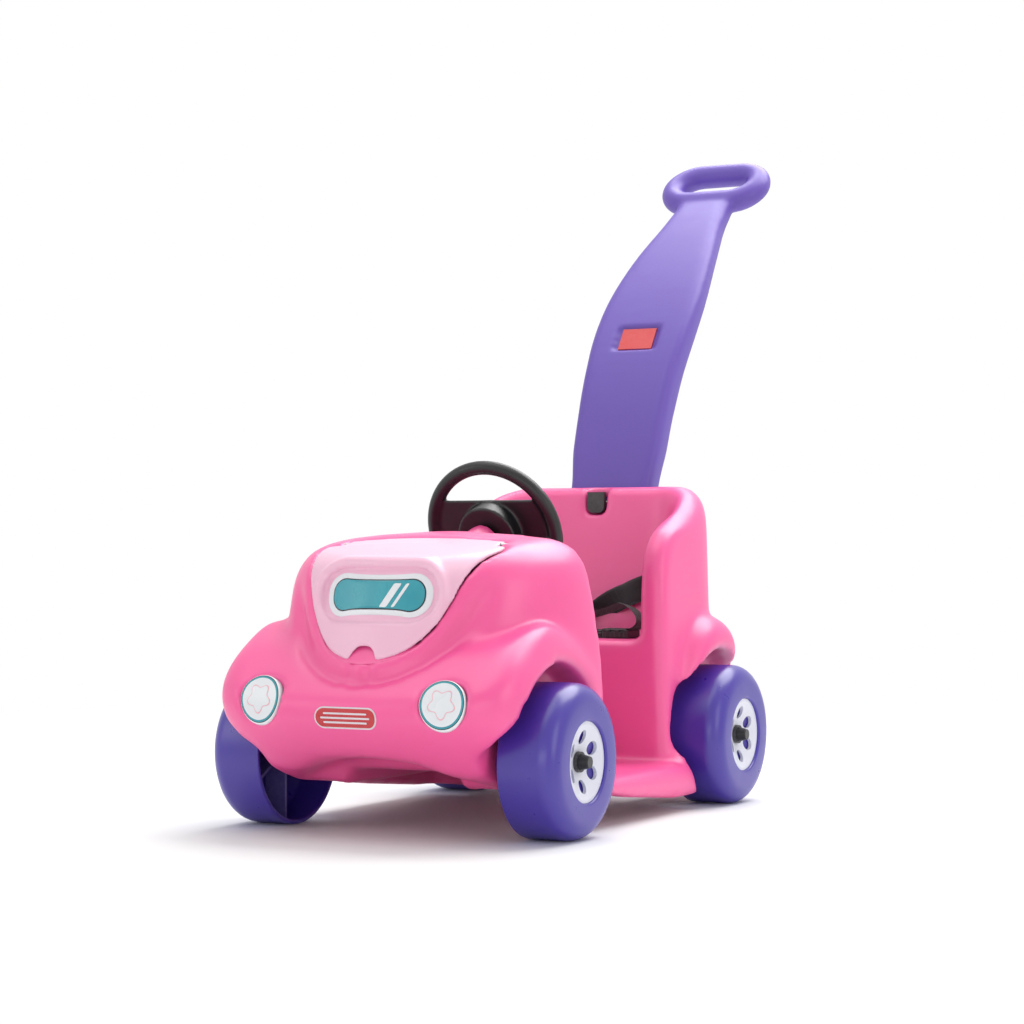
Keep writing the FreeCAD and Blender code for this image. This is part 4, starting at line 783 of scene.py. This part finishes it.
# Windscreen print: one wide teal pane on a white panel, with slanting glints
screenSizes = {"y": frontAxle - 0.15, "z": 0.2945, "half": (0.0735, 0.0265), "panelCorner": 0.0245,
               "pane": (0.0635, 0.0185), "corner": 0.0165, "line": 0.0016, "film": 0.0003, "base": 0.0001,
               "glints": ((0.020, 0.0050), (0.033, 0.0022)), "glintShare": 0.78, "glintCorner": 0.0018,
               "glintLean": 0.6, "cornerSteps": 4, "pitch": 0.003}
acrossCar, upCar = Vector((1, 0, 0)), Vector((0, 0, 1))
wide, tall = screenSizes["pane"]
line, corner = screenSizes["line"], screenSizes["corner"]
layers = [("screenPanel", 1, inkWhite, roundedBox(*screenSizes["half"], screenSizes["panelCorner"])),
          ("paneBorder", 2, inkDark, roundedBox(wide + line, tall + line, corner + line)),
          ("paneGlass", 3, inkTeal, roundedBox(wide, tall, corner))]
for number, (shift, width) in enumerate(screenSizes["glints"]):
    glint = roundedBox(width, tall * screenSizes["glintShare"], screenSizes["glintCorner"],
                       screenSizes["glintLean"], screenSizes["cornerSteps"], (shift, 0.0))
    layers.append((f"paneGlint{number}", 4, inkWhite, glint))
for name, layer, ink, outline in layers:
    laidPrint(name, outline, Vector((0, screenSizes["y"], screenSizes["z"])), acrossCar, upCar, lidSkin,
              screenSizes["base"] + screenSizes["film"] * layer, ink, "hood", "pale_lid", screenSizes["pitch"])
print("windscreen print laid")


# Lamps: shallow crowned discs that follow the bumper's curve, with a printed ring and flower
def lampDisc(name, lamp, radius):
    tree = castTree(bodySkin)
    origin, across, up = lamp["origin"], lamp["across"], lamp["up"]
    away = across.cross(up)
    rows, heights = [], []
    for reach in lampSizes["castShares"]:
        for u, v in ring(radius * reach, lampSizes["casts"]):
            hit = tree.ray_cast(origin + across * u + up * v + away * lampSizes["castFrom"], -away)[0]
            if hit:
                rows.append((1, u, v, u * u, u * v, v * v))
                heights.append((hit - origin).dot(away))
    shape = fitted(rows, heights)
    shape[3:] *= lampSizes["flatten"]
    levels = [(share, lampSizes["crown"] * (1 - share * share)) for share in lampSizes["rings"]]
    levels += [*lampSizes["edge"], (1.0, -lampSizes["depth"])]
    spots, faces, turns = [], [], lampSizes["turns"]
    for share, rise in levels + [(0.0, lampSizes["crown"]), (0.0, -lampSizes["depth"])]:
        for u, v in ring(radius * share, turns if share else 1):
            level = float(np.dot(shape, (1, u, v, u * u, u * v, v * v))) + rise
            spots.append(origin + across * u + up * v + away * level)
    last, top = (len(levels) - 1) * turns, len(levels) * turns
    for k in range(turns):
        after = (k + 1) % turns
        faces.append((top, k, after))
        faces.append((top + 1, last + after, last + k))
        for low in range(0, last, turns):
            faces.append((low + k, low + turns + k, low + turns + after, low + after))
    mesh = meshOf(name, spots, faces)
    outwardFaces(mesh)
    smoothShaded(mesh)
    return mesh


flowerSizes = {"depth": 0.30, "petals": 5}
lampPrints = {"Edge": (inkDark, 0.955), "Rim": (inkTeal, 0.925), "Face": (inkWhite, 0.85),
              "Flower": (inkPink, 0.62), "Inner": (inkWhite, 0.57)}
for side, label in ((1, "left"), (-1, "right")):
    turn, radius = lampSizes["turn"], lampSizes["radius"]
    away = Vector((side * math.sin(turn), -math.cos(turn), math.tan(lampSizes["tilt"]))).normalized()
    across = upCar.cross(away).normalized()
    lamp = {"origin": Vector((side * lampSizes["spread"], lampSizes["y"], lampSizes["z"])), "across": across,
            "up": away.cross(across)}
    disc = addPiece("lampDisc_" + label, lampDisc("lampDisc_" + label, lamp, radius), lampWhite, "chassis")
    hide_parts("headlamp_disc_" + label)
    lamp.update(target=disc, body="chassis", slot="lamp_white")
    for layer, (part, (ink, share)) in enumerate(lampPrints.items(), 1):
        if part in ("Flower", "Inner"):
            outline = petals(radius * share, flowerSizes["depth"], flowerSizes["petals"])
        else:
            outline = ring(radius * share)
        laidPrint(f"lamp{part}_{label}", outline, lift=lampSizes["film"] * layer, material=ink, **lamp)
print("lamp prints laid")

# Grille print: a lozenge with bars between the lamps
grilleSizes = {"y": frontAxle - 0.17, "z": 0.150, "half": (0.043, 0.013), "corner": 0.0125, "edge": 0.002,
               "bar": (0.034, 0.0011), "barCorner": 0.001, "barStep": 0.004, "pitch": 0.0052, "film": 0.0004,
               "cornerSteps": 4, "grain": (0.002, 0.002, 0.0015)}
wide, tall = grilleSizes["half"]
edge, corner = grilleSizes["edge"], grilleSizes["corner"]
layers = [("grilleEdge", 1, inkSilver, roundedBox(wide, tall, corner)),
          ("grilleField", 2, inkRed, roundedBox(wide - edge, tall - edge, corner - edge))]
for row in (-1, 0, 1):
    barWide, barTall = grilleSizes["bar"]
    layers.append((f"grilleBar{row + 1}", 3, inkSilver,
                   roundedBox(barWide - grilleSizes["barStep"] * abs(row), barTall, grilleSizes["barCorner"], 0,
                              grilleSizes["cornerSteps"], (0.0, row * grilleSizes["pitch"]))))
for name, layer, ink, outline in layers:
    laidPrint(name, outline, Vector((0, grilleSizes["y"], grilleSizes["z"])), acrossCar, upCar, bodySkin,
              grilleSizes["film"] * layer, ink, "chassis", "pink_shell", grilleSizes["grain"][layer - 1])
print("grille print laid")

# Lap belt: webbing on smooth lines, a sliding adjuster, and stitching where the webbing folds
beltSizes = {"width": 0.034, "thick": 0.0019, "segments": 84, "stitchPitch": 0.0034, "stitchLength": 0.0024,
             "stitchRadius": 0.00045, "stitchShare": 0.42, "corner": 0.052, "half": 0.142, "across": 8,
             "edgePower": 8}
seatSizes = {"recline": 44 / 242, "foot": rearAxle - 0.006, "top": 0.227, "buckle": 0.060}
recline, backFoot, seatTop = (seatSizes[key] for key in ("recline", "foot", "top"))
upBack = Vector((0, recline, 1)).normalized()
buckleY = backFoot - seatSizes["buckle"]


# A place off the inside of the seat tub, which turns forward at its back corners
def offTub(x, z, off):
    past = max(0.0, abs(x) - beltSizes["half"] + beltSizes["corner"]) / beltSizes["corner"]
    facing = math.sqrt(max(0.0, 1 - past * past))
    wall = Vector((x, backFoot + (z - seatTop) * recline - beltSizes["corner"] * (1 - facing), z))
    return wall + Vector((-math.copysign(past, x) * off, -facing * off, 0))


# A place above the seat
def onSeat(x, y, lift):
    return Vector((x, y, seatTop + lift))


def smoothLine(points, count):
    curve = bpy.data.curves.new("line", "CURVE")
    curve.dimensions = "3D"
    curve.resolution_u = 24
    spline = curve.splines.new("NURBS")
    spline.points.add(len(points) - 1)
    for spot, point in zip(spline.points, points):
        spot.co = (*point, 1)
    spline.order_u = 3
    spline.use_endpoint_u = True
    holder = bpy.data.objects.new("line", curve)
    mesh = bpy.data.meshes.new_from_object(holder)
    line = [v.co.copy() for v in mesh.vertices]
    bpy.data.objects.remove(holder)
    steps = np.cumsum([0] + [(b - a).length for a, b in zip(line, line[1:])])
    wanted = np.linspace(0, steps[-1], count)
    coords = np.array([tuple(p) for p in line])
    return [Vector([np.interp(w, steps, coords[:, k]) for k in range(3)]) for w in wanted], float(steps[-1])


# A strap: a flat ribbon whose width direction turns evenly from one end to the other.
def ribbon(name, points, widths):
    line, length = smoothLine(points, beltSizes["segments"])
    turns, _ = smoothLine(widths, beltSizes["segments"])
    half, thick = beltSizes["width"] / 2, beltSizes["thick"]
    spots, faces, coords, frames = [], [], [], []
    across = beltSizes["across"]
    for index, (spot, turn) in enumerate(zip(line, turns)):
        ahead = (line[min(index + 1, len(line) - 1)] - line[max(index - 1, 0)]).normalized()
        wide = (turn - ahead * turn.dot(ahead)).normalized()
        up = wide.cross(ahead).normalized()
        frames.append((spot, wide, up))
        for k in range(across + 1):
            share = 2 * k / across - 1
            edge = math.sqrt(max(0.0, 1 - share ** beltSizes["edgePower"]))
            for level in (-1, 1):
                spots.append(spot + wide * (half * share) + up * (level * thick / 2 * edge))
                coords.append((half * share, length * index / (len(line) - 1)))
    size = 2 * (across + 1)
    loop = [2 * k for k in range(across + 1)] + [2 * k + 1 for k in range(across, -1, -1)]
    for index in range(len(line) - 1):
        for a, b in zip(loop, loop[1:] + loop[:1]):
            low, high = index * size, (index + 1) * size
            faces.append((low + a, low + b, high + b, high + a))
    faces.append(tuple(loop[::-1]))
    faces.append(tuple((len(line) - 1) * size + k for k in loop))
    mesh = meshOf(name, spots, faces)
    layer = mesh.uv_layers.new(name="strap")
    for corner in mesh.loops:
        layer.data[corner.index].uv = coords[corner.vertex_index]
    outwardFaces(mesh)
    smoothShaded(mesh)
    print(name, "length", round(length, 4))
    return addPiece(name, mesh, wovenWebbing, "chassis"), frames


# Threads set at even steps along rows drawn on the webbing
def stitchRows():
    inputs = [(label, "Float") for label in ("Pitch", "Length", "Radius")]
    tree, keys, source, sink = newTree("stitchRows", *inputs)
    rows = tree.nodes.new("GeometryNodeMeshToCurve")
    spaced = addNode(tree, "GeometryNodeResampleCurve", mode="LENGTH")
    way = tree.nodes.new("GeometryNodeInputTangent")
    aim = addNode(tree, "FunctionNodeAlignRotationToVector", axis="Z")
    thread = addNode(tree, "GeometryNodeMeshUVSphere", Segments=8, Rings=6)
    ratio = worked(tree, "DIVIDE", source.outputs["Length"], source.outputs["Radius"])
    stretch = addNode(tree, "ShaderNodeCombineXYZ", X=1.0, Y=1.0)
    copies = tree.nodes.new("GeometryNodeInstanceOnPoints")
    tree.links.new(ratio, stretch.inputs["Z"])
    wire(tree, (source, "Geometry", rows, "Mesh"), (rows, "Curve", spaced, "Curve"),
         (source, "Pitch", spaced, "Length"), (way, "Tangent", aim, "Vector"),
         (source, "Radius", thread, "Radius"), (spaced, "Curve", copies, "Points"),
         (thread, "Mesh", copies, "Instance"), (aim, "Rotation", copies, "Rotation"),
         (stretch, "Vector", copies, "Scale"))
    finishTree(tree, source, copies, sink)
    return tree, keys


# Width directions: a share of the backrest's upward way and a turn added to it
def leaning(*rows):
    return [upBack * share + Vector(turn) for share, *turn in rows]


leftWay = [offTub(0.122, 0.302, 0.003), offTub(0.104, 0.301, 0.005), offTub(0.085, 0.294, 0.009),
           offTub(0.060, 0.284, 0.0095), offTub(0.030, 0.269, 0.007), offTub(0.004, 0.252, 0.005),
           onSeat(-0.014, backFoot - 0.012, 0.012), onSeat(0.0, backFoot - 0.034, 0.005),
           onSeat(0.020, buckleY + 0.014, 0.004)]
leftWide = leaning((1, 0, 0, 0), (1, 0, 0, 0), (1, 0.1, -0.5, 0), (1, 0.3, -0.2, 0), (1, 0, 0, 0), (1, 0, 0, 0),
                   (1, 0, -0.8, 0), (0, 0.5, -1, 0), (0, 1, -0.6, 0))
rightWay = [offTub(-0.072, 0.2781, 0.0016), offTub(-0.056, 0.268, 0.0018), offTub(-0.040, 0.252, 0.005),
            onSeat(-0.044, backFoot - 0.022, 0.020), onSeat(-0.036, buckleY + 0.016, 0.010),
            onSeat(-0.018, buckleY, 0.0075), onSeat(0.002, buckleY, 0.0075)]
rightWide = leaning((1, 0.4, 0, 0), (1, 0, 0, 0), (1, 0, -0.4, 0), (0, -0.3, -0.6, 0.6), (0, -0.2, -0.9, 0.1),
                    (0, 0, -1, 0), (0, 0, -1, 0))
tailWay = [onSeat(0.056, buckleY, 0.0065), onSeat(0.106, buckleY, 0.0085),
           onSeat(0.118, buckleY + 0.004, 0.026), onSeat(0.088, buckleY + 0.010, 0.050),
           onSeat(0.050, buckleY + 0.020, 0.036), onSeat(0.016, buckleY + 0.024, 0.030),
           onSeat(-0.012, buckleY + 0.030, 0.012)]
tailWide = leaning(*[(0, 0, -1, 0)] * 4, (0, 0, -0.9, 0.2), (0, 0, -0.8, 0.3), (0, 0, -0.8, 0.3))
stitchTree, stitchKeys = stitchRows()
for name, way, wide, node, folds in (("beltLeft", leftWay, leftWide, "belt_strap_left", (30, 33, 46)),
                                     ("beltRight", rightWay, rightWide, "belt_strap_right", (14, 17, 66)),
                                     ("beltTail", tailWay, tailWide, None, (38, 41))):
    strap, frames = ribbon(name, way, wide)
    if node:
        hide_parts(node)
    spots, edges = [], []
    for fold in folds:
        spot, widthWay, up = frames[fold]
        for level in (-1, 1):
            edges.append((len(spots), len(spots) + 1))
            reach, rise = beltSizes["stitchShare"] * beltSizes["width"], level * beltSizes["thick"] / 2
            spots += [spot + widthWay * (end * reach) + up * rise for end in (-1, 1)]
    threads = grown(name + "Threads", meshOf("rows", spots, [], edges), stitchTree, stitchKeys,
                    {"Pitch": beltSizes["stitchPitch"], "Length": beltSizes["stitchLength"] / 2,
                     "Radius": beltSizes["stitchRadius"], "Material": blackPlastic})
    smoothShaded(threads)
    addPiece(name + "Threads", threads, blackPlastic, "chassis")

# Adjuster: a ribbed slide on the webbing beside the buckle
slideSizes = {"low": 0.070, "high": 0.104, "half": 0.020, "height": 0.011, "bars": 5, "hollowShare": 0.8,
              "overlap": 1.02, "lift": 0.0006, "bevel": 0.0012, "bevelSteps": 2, "bevelShape": 0.6}
slide = bmesh.new()
for number in range(slideSizes["bars"]):
    pitch = (slideSizes["high"] - slideSizes["low"]) / slideSizes["bars"]
    x = slideSizes["low"] + pitch * (number + 0.5)
    made = bmesh.ops.create_cube(slide, size=1.0)["verts"]
    tall = slideSizes["height"] * (1.0 if number % 2 == 0 else slideSizes["hollowShare"])
    for vert in made:
        vert.co = Vector((x + vert.co.x * pitch * slideSizes["overlap"],
                          buckleY + vert.co.y * slideSizes["half"] * 2,
                          seatTop + slideSizes["lift"] + (vert.co.z + 0.5) * tall))
bmesh.ops.bevel(slide, geom=slide.edges[:], offset=slideSizes["bevel"], segments=slideSizes["bevelSteps"],
                profile=slideSizes["bevelShape"], affect="EDGES")
slideMesh = bpy.data.meshes.new("beltSlide")
slide.to_mesh(slideMesh)
slide.free()
addPiece("beltSlide", slideMesh, blackPlastic, "chassis")
print("belt made")


# Floor and light: the white surround is only for rays that look at it, straight, mirrored or through glass
def lookingRays(tree):
    path = addNode(tree, "ShaderNodeLightPath")
    total = path.outputs["Is Camera Ray"]
    for label in ("Is Glossy Ray", "Is Transmission Ray"):
        total = worked(tree, "MAXIMUM", total, path.outputs[label])
    return total


stageSizes = {"reach": 14.0, "fade": (0.75, 2.2), "soft": 0.45}


def makeStage():
    reach = stageSizes["reach"]
    corners = [(-reach, -reach, 0), (reach, -reach, 0), (reach, reach, 0), (-reach, reach, 0)]
    floor = bpy.data.objects.new("floor", meshOf("floor", corners, [(0, 1, 2, 3)]))
    scene.collection.objects.link(floor)
    material, tree, shader = newMaterial("paleFloor")
    setValues(shader, **{"Base Color": (0.93, 0.93, 0.93, 1), "Roughness": 0.6, "Specular IOR Level": 0.2})
    place = addNode(tree, "ShaderNodeTexCoord")
    reachOut = addNode(tree, "ShaderNodeVectorMath", operation="LENGTH")
    fade = addNode(tree, "ShaderNodeMapRange", interpolation_type="SMOOTHSTEP")
    fade.inputs["From Min"].default_value, fade.inputs["From Max"].default_value = stageSizes["fade"]
    glow = addNode(tree, "ShaderNodeEmission", Strength=1.0, Color=(1, 1, 1, 1))
    blend = addNode(tree, "ShaderNodeMixShader")
    shown = worked(tree, "MULTIPLY", fade.outputs["Result"], lookingRays(tree))
    tree.links.new(shown, blend.inputs["Fac"])
    wire(tree, (place, "Object", reachOut, 0), (reachOut, "Value", fade, "Value"), (shader, "BSDF", blend, 1),
         (glow, "Emission", blend, 2), (blend, "Shader", tree.nodes["Material Output"], "Surface"))
    dress(floor, material)
    floor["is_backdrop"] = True
    world = bpy.data.worlds.new("studio")
    scene.world = world
    world.use_nodes = True
    tree = world.node_tree
    soft = setValues(tree.nodes["Background"], Strength=stageSizes["soft"], Color=(1, 1, 1, 1))
    seen = addNode(tree, "ShaderNodeBackground", Strength=1.0, Color=(1, 1, 1, 1))
    mix = addNode(tree, "ShaderNodeMixShader")
    tree.links.new(lookingRays(tree), mix.inputs["Fac"])
    wire(tree, (soft, "Background", mix, 1), (seen, "Background", mix, 2),
         (mix, "Shader", tree.nodes["World Output"], "Surface"))


def addLight(name, place, aim, size, power):
    light = bpy.data.lights.new(name, "AREA")
    light.shape = "RECTANGLE"
    light.size, light.size_y = size
    light.energy = power
    lamp = bpy.data.objects.new(name, light)
    scene.collection.objects.link(lamp)
    lamp.location = place
    lamp.rotation_euler = (Vector(aim) - Vector(place)).to_track_quat("-Z", "Y").to_euler()


makeStage()
for name, place, aim, size, power in (
        ("topBack", (0.4, 1.5, 2.9), (0, -0.15, 0.25), (3.2, 2.2), 116),
        ("overhead", (-0.4, -0.8, 2.8), (0, -0.1, 0.2), (2.2, 2.2), 20),
        ("leftFront", (-2.4, -2.8, 1.5), (0, -0.2, 0.3), (1.6, 1.6), 11),
        ("rightSide", (3.0, -1.0, 1.3), (0, -0.1, 0.3), (1.2, 1.8), 12),
        ("lowFront", (0.9, -3.2, 0.55), (0, -0.2, 0.15), (2.2, 0.7), 8)):
    addLight(name, place, aim, size, power)

# Camera at the photograph's place
cameraSizes = {"azimuth": math.radians(27.72), "elevation": math.radians(-0.79), "lens": 86.41,
               "sensor": 36.0, "place": (1.5335, -2.6535 + frontAxle, 0.3544)}
cameraData = bpy.data.cameras.new("camera")
cameraData.lens = cameraSizes["lens"]
cameraData.sensor_width = cameraSizes["sensor"]
camera = bpy.data.objects.new("camera", cameraData)
scene.collection.objects.link(camera)
camera.location = cameraSizes["place"]
azimuth, elevation = cameraSizes["azimuth"], cameraSizes["elevation"]
back = Vector((math.sin(azimuth) * math.cos(elevation), -math.cos(azimuth) * math.cos(elevation),
               math.sin(elevation)))
camera.rotation_euler = (-back).to_track_quat("-Z", "Y").to_euler()
scene.camera = camera
scene.view_settings.view_transform = "Standard"
print("stage set")

low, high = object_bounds()
